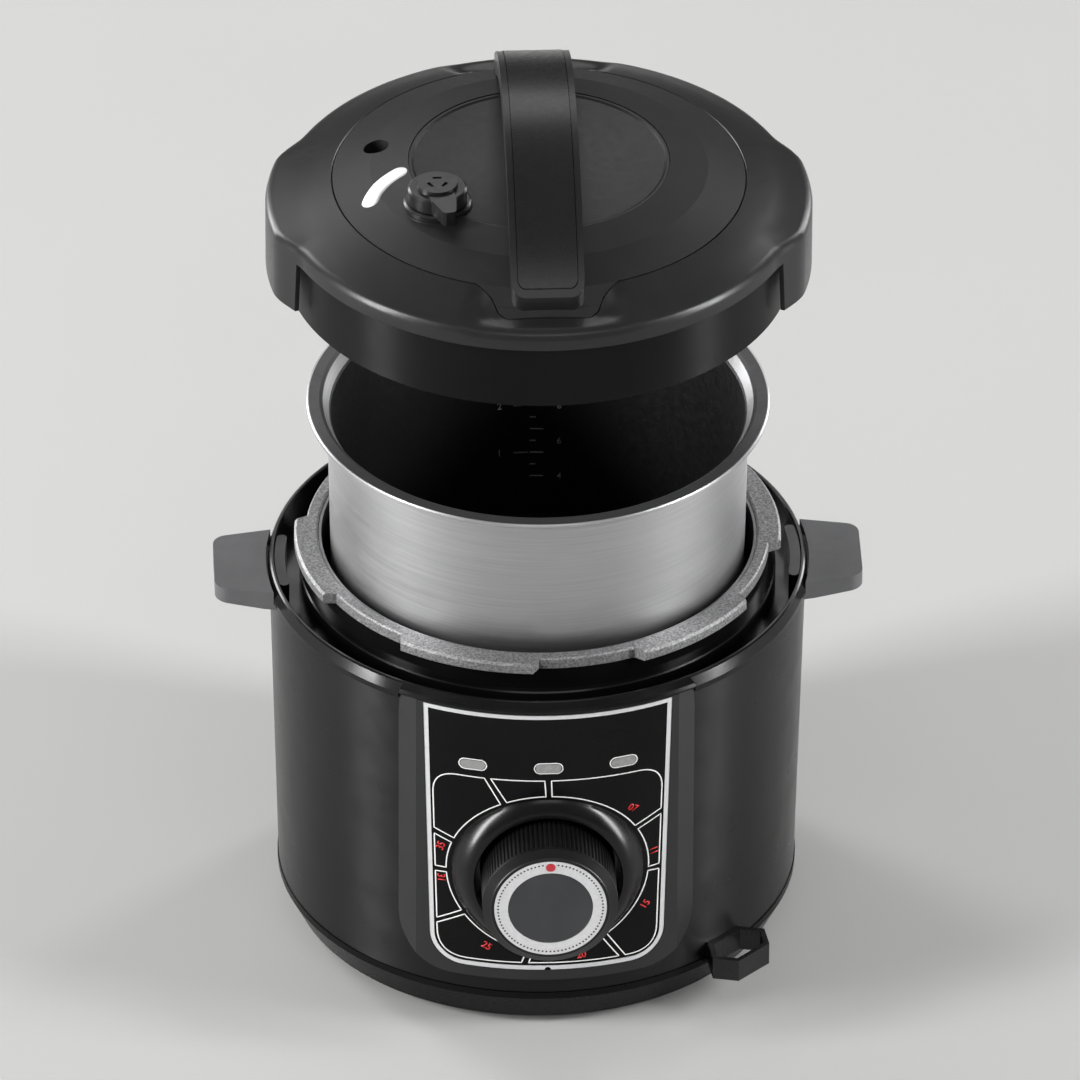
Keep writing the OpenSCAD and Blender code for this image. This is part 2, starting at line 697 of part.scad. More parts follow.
module inner_pot() lift(pot_raise) color("#c4c6c8") {
    low_r = pot_r - pot_taper;
    revolve(concat([[0, pot_z]],
        arc(low_r - pot_corner, pot_z + pot_corner, pot_corner, -90, 0, 8),
        [[pot_r, pot_top - rim_t - 6], [pot_r + 0.6, pot_top - rim_t - 1.5],
         [pot_r + 2.4, pot_top - rim_t]],
        [[rim_r - 0.8, pot_top - rim_t], [rim_r, pot_top - rim_t + 0.8],
         [rim_r, pot_top - 0.6], [rim_r - 0.6, pot_top], [pot_r + 4, pot_top],
         [pot_r + 2.4, pot_top - 0.7], [pot_r - pot_wall, pot_top - rim_t - 5]],
        arc(low_r - pot_corner, pot_z + pot_corner, pot_corner - pot_wall, 0, -90, 8),
        [[0, pot_z + pot_wall]]));
}

// ---------- lid, drawn in its closed place ----------

module sealing_ring() lift(lid_raise) color("#c9c7bf") revolve([
    [rim_r - 5, pot_top + seat], [lid_in - 2, pot_top + seat + 0.6],
    [lid_in - seat, pot_top + 2.4], [lid_in - seat, disc_z - seat],
    [rim_r - 5, disc_z - seat], [rim_r - 5, disc_z - 2.4], [rim_r + 2.8, disc_z - 3.1],
    [rim_r + 2.8, pot_top + 3.4], [rim_r - 5, pot_top + 2.6]]);

module seal_hoop() lift(lid_raise) color("#bfc1c4") translate([0, 0, (pot_top + disc_z) / 2])
    rotate_extrude() translate([rim_r + 1.2, 0]) circle(r = 1.4, $fn = 24);

pipe_r = 4;
guide_r = 2.6;

module inner_lid() lift(lid_raise) color("#17181a") difference() {
    union() {
        revolve([[0, disc_z], [lid_in, disc_z], [lid_in, skirt_z + 0.6], [lid_in + 0.6, skirt_z],
            [lid_r - 0.6, skirt_z], [lid_r, skirt_z + 0.6], [lid_r, skirt_top],
            [lid_in, skirt_top], [lid_in, disc_z + disc_t], [0, disc_z + disc_t]]);
        rotate([0, 0, 180 / lobe_count]) at_lobes() rotate([0, 0, -lug_angle / 2])
            rotate_extrude(angle = lug_angle)
                translate([lug_in, lug_top - lug_t]) square([lid_in - lug_in + 0.5, lug_t]);
    }
    at_valve() translate([0, 0, disc_z - 1]) cylinder(r = pipe_r + 0.2, h = 5);
    at_float() translate([0, 0, disc_z - 1]) cylinder(r = guide_r + 0.4, h = 5);
    translate([0, 0, disc_z - 1]) cylinder(r = 4.2, h = 5);
}

mid_z = flange_z + seam_h + (crown_h - seam_h) * 0.62;
// Outer surface of the lid's top, from the flange's edge to the dish
dome_profile = [[lid_r + 0.3, skirt_top + 0.3], [lid_r + 2.8, skirt_top + 0.3],
    [lid_r + 3.8, skirt_top + 1.8], [lid_r + 3.6, flange_z - 4.6], [lid_r + 0.4, flange_z - 0.6],
    [lid_r - 2.6, flange_z + 0.3], [cap_r + 14, flange_z + 0.9], [cap_r + 8, flange_z + seam_h * 0.42],
    [cap_r, flange_z + seam_h], [(cap_r + dish_r) / 2, mid_z], [dish_r, crown_z]];
dome_wall = 2.8;

module dome_shell() revolve(concat(dome_profile,
    [[dish_r, crown_z - dome_wall], [(cap_r + dish_r) / 2, mid_z - dome_wall],
     [cap_r, flange_z + seam_h - dome_wall - 0.2], [cap_r + 8, flange_z + seam_h * 0.42 - dome_wall - 0.2],
     [cap_r + 14, flange_z + 0.9 - dome_wall], [lid_in - 2.4, flange_z + 0.3 - dome_wall],
     [lid_in - 2.4, disc_z + disc_t + seat], [lid_in - 0.2, disc_z + disc_t + seat],
     [lid_in - 0.2, skirt_top + 0.3]]));

module dome_solid() revolve(concat([[0, skirt_top]], dome_profile, [[0, crown_z]]));

tongue_half = 25;
tongue_out = 117.5;

// Plan of the cap: a disc with a tongue under each foot of the lid handle
module cap_plan(grow) linear_extrude(crown_z + 60) {
    circle(r = cap_r + grow);
    for (side = [-1, 1]) polygon([
        [-tongue_half - 16 - grow, side * (cap_r - 12)], [-tongue_half - 3 - grow, side * (cap_r + 2 + grow)],
        [-tongue_half - grow, side * (tongue_out - 4)], [-tongue_half + 4, side * (tongue_out + grow)],
        [tongue_half - 4, side * (tongue_out + grow)], [tongue_half + grow, side * (tongue_out - 4)],
        [tongue_half + 3 + grow, side * (cap_r + 2 + grow)], [tongue_half + 16 + grow, side * (cap_r - 12)]]);
}

boss_r = 17.5;
boss_top = crown_z - 2;

ledge_z = flange_z + seam_h - dome_wall - 0.6;
ledge_low = flange_z + seam_h * 0.42 - dome_wall - 0.5;

module lid_cover() lift(lid_raise) color("#1b1b1c") {
    difference() {
        dome_shell();
        cap_plan(0.15);
    }
    // ledge under the cap's seam
    revolve([[cap_r - 4, ledge_z], [cap_r, ledge_z], [cap_r + 8, ledge_low],
        [cap_r + 13.8, flange_z + 0.9 - dome_wall - 0.35], [cap_r + 14.5, flange_z - 1],
        [lid_in - 2, flange_z - 1.5], [lid_in - 2, flange_z - 4.6],
        [cap_r + 7, ledge_low - 2.4], [cap_r - 1, ledge_z - 2.6], [cap_r - 4, ledge_z - 2.6]]);
    rotate([0, 0, ear_turn]) for (turn = [0, 180]) rotate([0, 0, turn]) lid_ear();
}

ear_round = 9;
ear_wall = 3;

module ear_plan(inset) intersection() {
    circle(r = ear_reach - inset);
    union() {
        translate([80, -ear_w / 2 + inset]) square([ear_reach - ear_round - 80, ear_w - 2 * inset]);
        translate([80, -ear_w / 2 + ear_round]) square([60, ear_w - 2 * ear_round]);
        for (side = [-1, 1]) translate([ear_reach - ear_round - 4, side * (ear_w / 2 - ear_round)])
            circle(r = ear_round - inset);
    }
}

module lid_ear() difference() {
    union() {
        translate([0, 0, ear_z]) linear_extrude(flange_z - 4 - ear_z) ear_plan(0);
        translate([0, 0, flange_z - 4.01]) linear_extrude(2) ear_plan(1);
        translate([0, 0, flange_z - 2.01]) linear_extrude(1.6) ear_plan(2.6);
    }
    // room for the skirt, and the hollow of the ear
    translate([0, 0, ear_z - 1]) cylinder(r = lid_r + 0.6, h = skirt_top - ear_z + 1.3);
    translate([0, 0, ear_z - 1]) linear_extrude(skirt_top - ear_z - 2) ear_plan(ear_wall);
    translate([0, 0, ear_z - 1]) cylinder(r = lid_r - 0.1, h = 60);
}

module lid_cap() lift(lid_raise) color("#1d1d1e") {
    difference() {
        union() {
            intersection() {
                dome_shell();
                cap_plan(-0.15);
            }
            // boss under the steam valve, and the wells of the valves
            intersection() {
                at_valve() translate([0, 0, disc_z + disc_t + seat])
                    cylinder(r = boss_r, h = boss_top - disc_z - disc_t - seat);
                dome_and_boss();
            }
            // rim that carries the dish
            revolve([[dish_r - 4, crown_z - 6.4], [dish_r + 2, crown_z - 6.4],
                [dish_r + 2, crown_z - 2.6], [dish_r, crown_z - 2.6],
                [dish_r, crown_z - 3.8], [dish_r - 4, crown_z - 3.8]]);
            // bosses of the handle's screws and the float valve's well
            intersection() {
                union() {
                    at_foot_screws() cylinder(r = 4.4, h = 8);
                    at_float() translate([0, 0, guide_top - 2])
                        cylinder(r = float_hole_r + 2, h = 40);
                }
                dome_solid();
            }
        }
        at_foot_screws() translate([0, 0, -1]) cylinder(r = foot_screw_r + 0.2, h = 30);
        at_valve() translate([0, 0, disc_z]) cylinder(r = pipe_r + 0.6, h = 60);
        at_valve() translate([0, 0, boss_top]) cylinder(r = boss_r, h = 60);
        at_valve() translate([0, 0, disc_z]) cylinder(r = boss_r - 2.4, h = boss_top - disc_z - 3);
        at_float() translate([0, 0, disc_z]) cylinder(r = float_hole_r, h = 60);
    }
}

module dome_and_boss() at_valve() translate([0, 0, 0]) cylinder(r = boss_r, h = boss_top);

dish_depth = 4.2;
dish_wall = 2;

module lid_dish() lift(lid_raise) color("#121213") difference() {
    union() {
        revolve(concat([[0, crown_z - dish_depth - dish_wall]],
            [[dish_r - 4, crown_z - 1.4 - dish_wall], [dish_r - 0.3, crown_z - 1.4 - dish_wall],
             [dish_r - 0.3, crown_z - 0.5], [dish_r - 1.6, crown_z - 0.5]],
            [for (i = [8:-1:0]) let (r = (dish_r - 3) * i / 8)
                [r, crown_z - dish_depth + (dish_depth - 1.2) * pow(i / 8, 2)]]));
        translate([0, 0, disc_z + disc_t + seat]) cylinder(r = 7, h = crown_z - dish_depth - 1 - disc_z - disc_t);
    }
    at_valve() translate([0, 0, crown_z - 20]) cylinder(r = boss_r + 0.3, h = 40);
    translate([0, 0, disc_z]) cylinder(r = 3.2, h = 18);
}

module lid_nut() lift(lid_raise) color("#b9bbbe") {
    translate([0, 0, disc_z - 6]) cylinder(r = 7.5, h = 5.8, $fn = 6);
    translate([0, 0, disc_z - 2]) cylinder(r = 3, h = 18);
}

// Lid handle: an arch from front to back
grip_foot = flange_z + 11;
grip_top = flange_z + grip_h;
grip_arc = (pow(grip_len / 2, 2) + pow(grip_top - grip_foot, 2)) / (2 * (grip_top - grip_foot));
grip_centre = grip_top - grip_arc;
grip_corner = 7;
cover_w = grip_w - 7;

// Slab of the given width whose side view is a disc of radius r on the arch's centre
module grip_disc(r, w) translate([-w / 2, 0, grip_centre]) rotate([0, 90, 0])
    cylinder(r = r, h = w, $fn = 128);

module grip_plan(w, length, corner) {
    translate([-w / 2, -length / 2 + corner]) square([w, length - 2 * corner]);
    translate([-w / 2 + corner, -length / 2]) square([w - 2 * corner, length]);
    for (x = [-1, 1], y = [-1, 1])
        translate([x * (w / 2 - corner), y * (length / 2 - corner)]) circle(r = corner);
}

module lid_handle() lift(lid_raise) color("#161617") difference() {
    intersection() {
        grip_disc(grip_arc, grip_w);
        translate([0, 0, skirt_top]) linear_extrude(120) grip_plan(grip_w, grip_len, grip_corner);
    }
    grip_disc(grip_arc - grip_t, grip_w + 2);
    dome_solid();
    at_foot_screws() translate([0, 0, 4]) cylinder(r = foot_screw_r + 0.05, h = 9.4);
    // seat of the handle's cover
    difference() {
        translate([0, 0, skirt_top]) linear_extrude(120)
            grip_plan(cover_w + 0.6, grip_len - 6.4, grip_corner - 3);
        grip_disc(grip_arc - 2, grip_w + 4);
    }
}

foot_screw_x = 9;
foot_screw_y = 95.5;
foot_screw_r = 1.7;
foot_screw_z = flange_z + seam_h - 4.4;

module at_foot_screws() for (x = [-1, 1], y = [-1, 1])
    translate([x * foot_screw_x, y * foot_screw_y, foot_screw_z]) children();

module handle_screws() lift(lid_raise) color("#b5b8bb") at_foot_screws() {
    translate([0, 0, -2.2]) cylinder(r = 3.2, h = 2.2);
    cylinder(r = foot_screw_r, h = 13);
}

module handle_cover() lift(lid_raise) color("#1a1a1b") difference() {
    intersection() {
        grip_disc(grip_arc + 0.3, grip_w);
        translate([0, 0, skirt_top]) linear_extrude(120)
            grip_plan(cover_w, grip_len - 7, grip_corner - 3.2);
    }
    grip_disc(grip_arc - 1.9, grip_w + 2);
}

// ---------- valves ----------

guide_top = disc_z + disc_t + 10;

module float_guide() lift(lid_raise) color("#a9abae") at_float() translate([0, 0, disc_z + disc_t])
    tube(6, guide_r, guide_top - disc_z - disc_t);

module float_pin() lift(lid_raise) color("#c3c5c8") at_float() revolve([
    [0, disc_z - 9.8], [5, disc_z - 9.8], [5, disc_z - 7.8], [guide_r - run, disc_z - 7.8],
    [guide_r - run, guide_top + 0.2], [4.6, guide_top + 0.2],
    [4.6, guide_top + 5.4], [4, guide_top + 6], [0, guide_top + 6]]);

module float_seal() lift(lid_raise) color("#a33a32") at_float() translate([0, 0, disc_z - 7.7])
    tube(6, guide_r, 2.2);

pipe_top = boss_top + 3;

module vent_pipe() lift(lid_raise) color("#b4b6b9") at_valve() difference() {
    union() {
        translate([0, 0, disc_z - 4]) cylinder(r = pipe_r, h = pipe_top - disc_z + 4);
        translate([0, 0, disc_z - 4]) cylinder(r = 8, h = 3.8, $fn = 6);
    }
    translate([0, 0, disc_z - 5]) cylinder(r = 1.6, h = 80);
}

module vent_filter() lift(lid_raise) color("#bdbfc1") at_valve() difference() {
    revolve([[0, disc_z - 11], [8, disc_z - 11], [10.5, disc_z - 8.5], [10.5, disc_z - 0.2],
        [9.3, disc_z - 0.2], [9.3, disc_z - 8], [7.4, disc_z - 9.8], [0, disc_z - 9.8]]);
    for (a = [0:45:315]) rotate([0, 0, a]) translate([5, 0, disc_z - 12])
        cylinder(r = 1, h = 4);
}

module valve_base() lift(lid_raise) color("#131314") at_valve() translate([0, 0, boss_top + 0.1])
    revolve([[pipe_r + 0.6, 0], [boss_r - 0.3, 0], [boss_r - 0.3, 2.4], [boss_r - 1.2, 3.2],
        [pipe_r + 4, 3.2], [pipe_r + 4, 2], [pipe_r + 0.6, 2]]);

weight_r = 8;
weight_z = pipe_top + 0.1;
knob_low = boss_top + 3.6;
knob_high = knob_low + 10;

module valve_weight() lift(lid_raise) color("#a6a8ab") at_valve() difference() {
    translate([0, 0, weight_z]) cylinder(r = weight_r, h = 8);
    translate([0, 0, weight_z - 0.01]) cylinder(r1 = 3, r2 = 0.6, h = 2);
}

lever_len = 27;

module valve_knob() lift(lid_raise) color("#141415") at_valve() difference() {
    union() {
        revolve_at(knob_low, [[0, 0], [valve_r, 0], [valve_r, 6.6], [valve_r - 1, 7.6],
            [valve_r - 4.5, 7.6], [valve_r - 5, 10], [0, 10]]);
        rotate([0, 0, 12]) translate([0, 0, knob_low + 0.6]) linear_extrude(8)
            polygon([[-7, 0], [-6.4, -valve_r + 1], [-3.4, -lever_len + 1], [-2, -lever_len],
                [2, -lever_len], [3.4, -lever_len + 1], [6.4, -valve_r + 1], [7, 0]]);
    }
    translate([0, 0, knob_low - 1]) cylinder(r = weight_r + run, h = weight_z + 8.3 - knob_low + 1);
    for (a = [90, 210, 330]) rotate([0, 0, a]) translate([4.2, 0, knob_high - 1])
        linear_extrude(3) square([1.8, 4.4], center = true);
}

module revolve_at(z, points) translate([0, 0, z]) revolve(points);

base_pan();
rubber_feet();
base_screws();
housing_shell();
top_ring();
handle_left();
handle_right();
locking_collar();
pot_liner();
hotplate();
heating_element();
sensor_bracket();
sensor_spring();
pot_sensor();
front_bezel();
control_panel();
panel_trim();
indicator_lenses();
lamp_board();
dial_dish();
timer_unit();
timer_shaft();
selector_knob();
knob_ring();
knob_cap();
knob_pointer();
ladle_socket();
mains_inlet();
inlet_pins();
inner_pot();
sealing_ring();
seal_hoop();
inner_lid();
lid_cover();
lid_cap();
lid_dish();
lid_handle();
handle_cover();
handle_screws();
lid_nut();
float_guide();
float_pin();
float_seal();
vent_pipe();
vent_filter();
valve_base();
valve_weight();
valve_knob();
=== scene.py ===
"""Looks of an electric pressure cooker with a dial, its pot and lid lifted off.

Finishes, the print on its panel, the sweep of its lid, the floor, the lamps and the camera.
"""
import math

import bmesh
import bpy
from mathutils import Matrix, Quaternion, Vector


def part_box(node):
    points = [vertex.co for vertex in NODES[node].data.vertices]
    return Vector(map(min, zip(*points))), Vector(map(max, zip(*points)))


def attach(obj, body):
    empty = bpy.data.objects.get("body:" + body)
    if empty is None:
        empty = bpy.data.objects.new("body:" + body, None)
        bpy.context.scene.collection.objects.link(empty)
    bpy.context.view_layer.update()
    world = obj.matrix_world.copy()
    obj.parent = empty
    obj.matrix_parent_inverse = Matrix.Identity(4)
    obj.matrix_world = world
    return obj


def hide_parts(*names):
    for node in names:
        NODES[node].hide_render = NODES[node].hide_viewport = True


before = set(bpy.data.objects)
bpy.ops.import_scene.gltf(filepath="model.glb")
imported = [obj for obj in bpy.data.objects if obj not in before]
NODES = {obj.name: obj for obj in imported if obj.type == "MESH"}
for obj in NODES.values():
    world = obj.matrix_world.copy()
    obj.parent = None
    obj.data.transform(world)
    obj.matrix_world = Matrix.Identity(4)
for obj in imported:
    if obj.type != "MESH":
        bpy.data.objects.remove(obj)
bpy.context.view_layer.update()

bl_info = {
    "name": "Pressure Cooker Finishes",
    "version": (1, 0, 0),
    "blender": (4, 5, 0),
    "location": "View3D > Sidebar > Cooker",
    "description": "Finishes, panel print and studio of an electric pressure cooker",
    "category": "Object",
}

MM = 0.001

PANEL_LOW, PANEL_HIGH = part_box("panel_trim")
PANEL_RADIUS = -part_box("control_panel")[0].y
RING_LOW, RING_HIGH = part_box("knob_ring")
DIAL_HEIGHT = (RING_LOW.z + RING_HIGH.z) / 2
RING_RADIUS = (RING_HIGH.z - RING_LOW.z) / 2
KNOB_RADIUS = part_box("selector_knob")[1].x
POT_LOW, POT_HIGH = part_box("inner_pot")
VALVE_LOW, VALVE_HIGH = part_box("valve_weight")
VALVE_CENTRE = (VALVE_LOW + VALVE_HIGH) / 2
WINDOW_LOW, WINDOW_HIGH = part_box("indicator_lenses")
WINDOW_HEIGHT = (WINDOW_LOW.z + WINDOW_HIGH.z) / 2


# ---------- sizes and colours that a user would change ----------

class CookerPrint(bpy.types.PropertyGroup):
    line: bpy.props.FloatProperty(
        name="Line width", description="Width of the printed lines on the panel",
        default=0.65 * MM, min=0.2 * MM, max=2 * MM, unit="LENGTH")
    margin: bpy.props.FloatProperty(
        name="Margin", description="Space between the fields and the silver trim",
        default=1.3 * MM, min=0.5 * MM, max=6 * MM, unit="LENGTH")
    figure: bpy.props.FloatProperty(
        name="Figure height", description="Height of the minutes on the panel",
        default=4.2 * MM, min=2 * MM, max=8 * MM, unit="LENGTH")
    band: bpy.props.FloatProperty(
        name="Lid band", description="Width of the blank band beside the steam valve",
        default=8.6 * MM, min=2 * MM, max=12 * MM, unit="LENGTH")
    mark: bpy.props.FloatProperty(
        name="Level mark pitch", description="Height between two long level marks in the pot",
        default=14.4 * MM, min=5 * MM, max=25 * MM, unit="LENGTH")
    dots: bpy.props.IntProperty(
        name="Knob dots", description="Dots there would be in a full ring round the knob",
        default=84, min=30, max=120)
    dot: bpy.props.FloatProperty(
        name="Knob dot", description="Diameter of a dot on the knob's ring",
        default=1.05 * MM, min=0.3 * MM, max=1.5 * MM, unit="LENGTH")


class CookerColours(bpy.types.PropertyGroup):
    gloss: bpy.props.FloatVectorProperty(
        name="Gloss black", description="Lid skirt, housing and panel",
        default=(0.003, 0.003, 0.0032), subtype="COLOR", min=0, max=1)
    satin: bpy.props.FloatVectorProperty(
        name="Satin black", description="Lid, handles and bezel",
        default=(0.012, 0.012, 0.0124), subtype="COLOR", min=0, max=1)
    silver: bpy.props.FloatVectorProperty(
        name="Silver", description="Trim round the panel",
        default=(0.66, 0.66, 0.67), subtype="COLOR", min=0, max=1)
    white: bpy.props.FloatVectorProperty(
        name="White print", description="Lines on the panel and the band on the lid",
        default=(0.74, 0.74, 0.73), subtype="COLOR", min=0, max=1)
    red: bpy.props.FloatVectorProperty(
        name="Red print", description="Minutes on the panel",
        default=(0.62, 0.014, 0.016), subtype="COLOR", min=0, max=1)
    pot: bpy.props.FloatVectorProperty(
        name="Pot outside", description="Satin aluminium of the inner pot",
        default=(0.44, 0.44, 0.445), subtype="COLOR", min=0, max=1)


class CookerStage(bpy.types.PropertyGroup):
    distance: bpy.props.FloatProperty(
        name="Camera distance", description="From the camera to the middle of the cooker",
        default=9.23, min=1, max=20, unit="LENGTH")
    rise: bpy.props.FloatProperty(
        name="Camera rise", description="Angle of the view above the horizon",
        default=math.radians(33.7), min=0, max=1.5, unit="ROTATION")
    swing: bpy.props.FloatProperty(
        name="Camera swing", description="Angle of the view round the cooker",
        default=math.radians(-2.5), min=-3.2, max=3.2, unit="ROTATION")
    roll: bpy.props.FloatProperty(
        name="Camera roll", description="Turn of the camera about its view",
        default=math.radians(0.24), min=-0.2, max=0.2, unit="ROTATION")
    lens: bpy.props.FloatProperty(
        name="Lens", description="Focal length on a 36 mm sensor",
        default=598, min=20, max=1200, subtype="DISTANCE_CAMERA")
    floor: bpy.props.FloatVectorProperty(
        name="Floor", description="Colour of the floor near the cooker",
        default=(0.42, 0.42, 0.415), subtype="COLOR", min=0, max=1)
    light: bpy.props.FloatProperty(
        name="Light", description="Strength of all the lamps together",
        default=1.0, min=0.1, max=4)


# ---------- small shop helpers ----------

def put_down_all():
    if bpy.context.object and bpy.context.object.mode != "OBJECT":
        bpy.ops.object.mode_set(mode="OBJECT")
    bpy.ops.object.select_all(action="DESELECT")


def pick(obj):
    put_down_all()
    obj.select_set(True)
    bpy.context.view_layer.objects.active = obj


def settle(obj):
    """Leaves the object at the origin with its place in its mesh."""
    pick(obj)
    bpy.ops.object.transform_apply(location=True, rotation=True, scale=True)
    return obj


def fix_modifiers(obj):
    pick(obj)
    for modifier in list(obj.modifiers):
        bpy.ops.object.modifier_apply(modifier=modifier.name)


def join(objs, name):
    put_down_all()
    for obj in objs:
        obj.select_set(True)
    bpy.context.view_layer.objects.active = objs[0]
    if len(objs) > 1:
        bpy.ops.object.join()
    objs[0].name = name
    return objs[0]


def lay_ribbon(name, route, width, closed=False, taper=None):
    """Flat strip in the XY plane along a route; taper gives its relative width at each point."""
    put_down_all()
    bpy.ops.curve.primitive_nurbs_path_add()
    path = bpy.context.object
    path.name = name
    curve = path.data
    curve.splines.clear()
    spline = curve.splines.new("POLY")
    spline.points.add(len(route) - 1)
    for i, (x, y) in enumerate(route):
        spline.points[i].co = (x, y, 0, 1)
        spline.points[i].radius = taper[i] if taper else 1.0
    spline.use_cyclic_u = closed
    curve.twist_mode = "Z_UP"
    put_down_all()
    bpy.ops.curve.primitive_nurbs_path_add()
    blade = bpy.context.object
    blade.data.splines.clear()
    cut = blade.data.splines.new("POLY")
    cut.points.add(4)
    for i in range(5):
        cut.points[i].co = ((i / 4 - 0.5) * width, 0, 0, 1)
    curve.bevel_mode = "OBJECT"
    curve.bevel_object = blade
    curve.use_fill_caps = False
    pick(path)
    bpy.ops.object.convert(target="MESH")
    bpy.data.objects.remove(blade)
    return path


def press_on(obj, node, axis, lift, forward=True):
    """Projects a flat piece along an axis onto a CAD node, a hair above its face."""
    wrap = obj.modifiers.new("Press on", "SHRINKWRAP")
    wrap.target = NODES[node]
    wrap.wrap_method = "PROJECT"
    wrap.use_project_x = axis == "X"
    wrap.use_project_y = axis == "Y"
    wrap.use_project_z = axis == "Z"
    wrap.use_positive_direction = forward
    wrap.use_negative_direction = not forward
    wrap.offset = lift
    fix_modifiers(obj)


def thicken(obj, skin):
    """Gives a flat piece the thickness of its ink."""
    wall = obj.modifiers.new("Ink", "SOLIDIFY")
    wall.thickness = skin
    wall.offset = 0
    fix_modifiers(obj)
    pick(obj)
    bpy.ops.object.mode_set(mode="EDIT")
    bpy.ops.mesh.select_all(action="SELECT")
    bpy.ops.mesh.normals_make_consistent(inside=False)
    bpy.ops.object.mode_set(mode="OBJECT")


TYPE_SIZE = 1.38        # size of the type for figures one unit high
TYPE_NARROW = 0.86
TYPE_WEIGHT = 0.02


def write_figure(text, height, middle, turn):
    """A figure as a flat mesh in the XY plane, round a middle point and turned by an angle."""
    put_down_all()
    bpy.ops.object.text_add()
    obj = bpy.context.object
    obj.data.body = text
    obj.data.size = height * TYPE_SIZE
    obj.data.align_x = "CENTER"
    obj.data.align_y = "CENTER"
    obj.data.offset = TYPE_WEIGHT * height
    obj.data.resolution_u = 4
    bpy.ops.object.convert(target="MESH")
    obj.scale = (TYPE_NARROW, 1, 1)
    obj.rotation_euler = (0, 0, turn)
    obj.location = (middle[0], middle[1], 0)
    return settle(obj)


SHARP_EDGE = math.radians(32)


def loft(name, rings):
    """Smooth open skin through closed rings that have the same number of points."""
    mesh = bpy.data.meshes.new(name)
    form = bmesh.new()
    rows = [[form.verts.new(point) for point in ring] for ring in rings]
    for low, high in zip(rows, rows[1:]):
        for i in range(len(low)):
            j = (i + 1) % len(low)
            form.faces.new((low[i], low[j], high[j], high[i]))
    bmesh.ops.recalc_face_normals(form, faces=form.faces)
    for face in form.faces:
        face.smooth = True
    for edge in form.edges:
        edge.smooth = edge.calc_face_angle(0) < SHARP_EDGE
    form.to_mesh(mesh)
    form.free()
    obj = bpy.data.objects.new(name, mesh)
    bpy.context.scene.collection.objects.link(obj)
    return obj


def stand_up(obj, depth):
    """Turns a piece drawn in XY to face the front: X stays, Y becomes Z."""
    obj.rotation_euler = (math.radians(90), 0, 0)
    obj.location = (0, depth, 0)
    return settle(obj)


def ease(value):
    """Goes softly from 0 to 1."""
    value = max(0.0, min(1.0, value))
    return value * value * (3 - 2 * value)


def tint(colour, share):
    """The colour at a share of its strength."""
    return tuple(min(1.0, c * share) for c in colour)


# ---------- finishes ----------

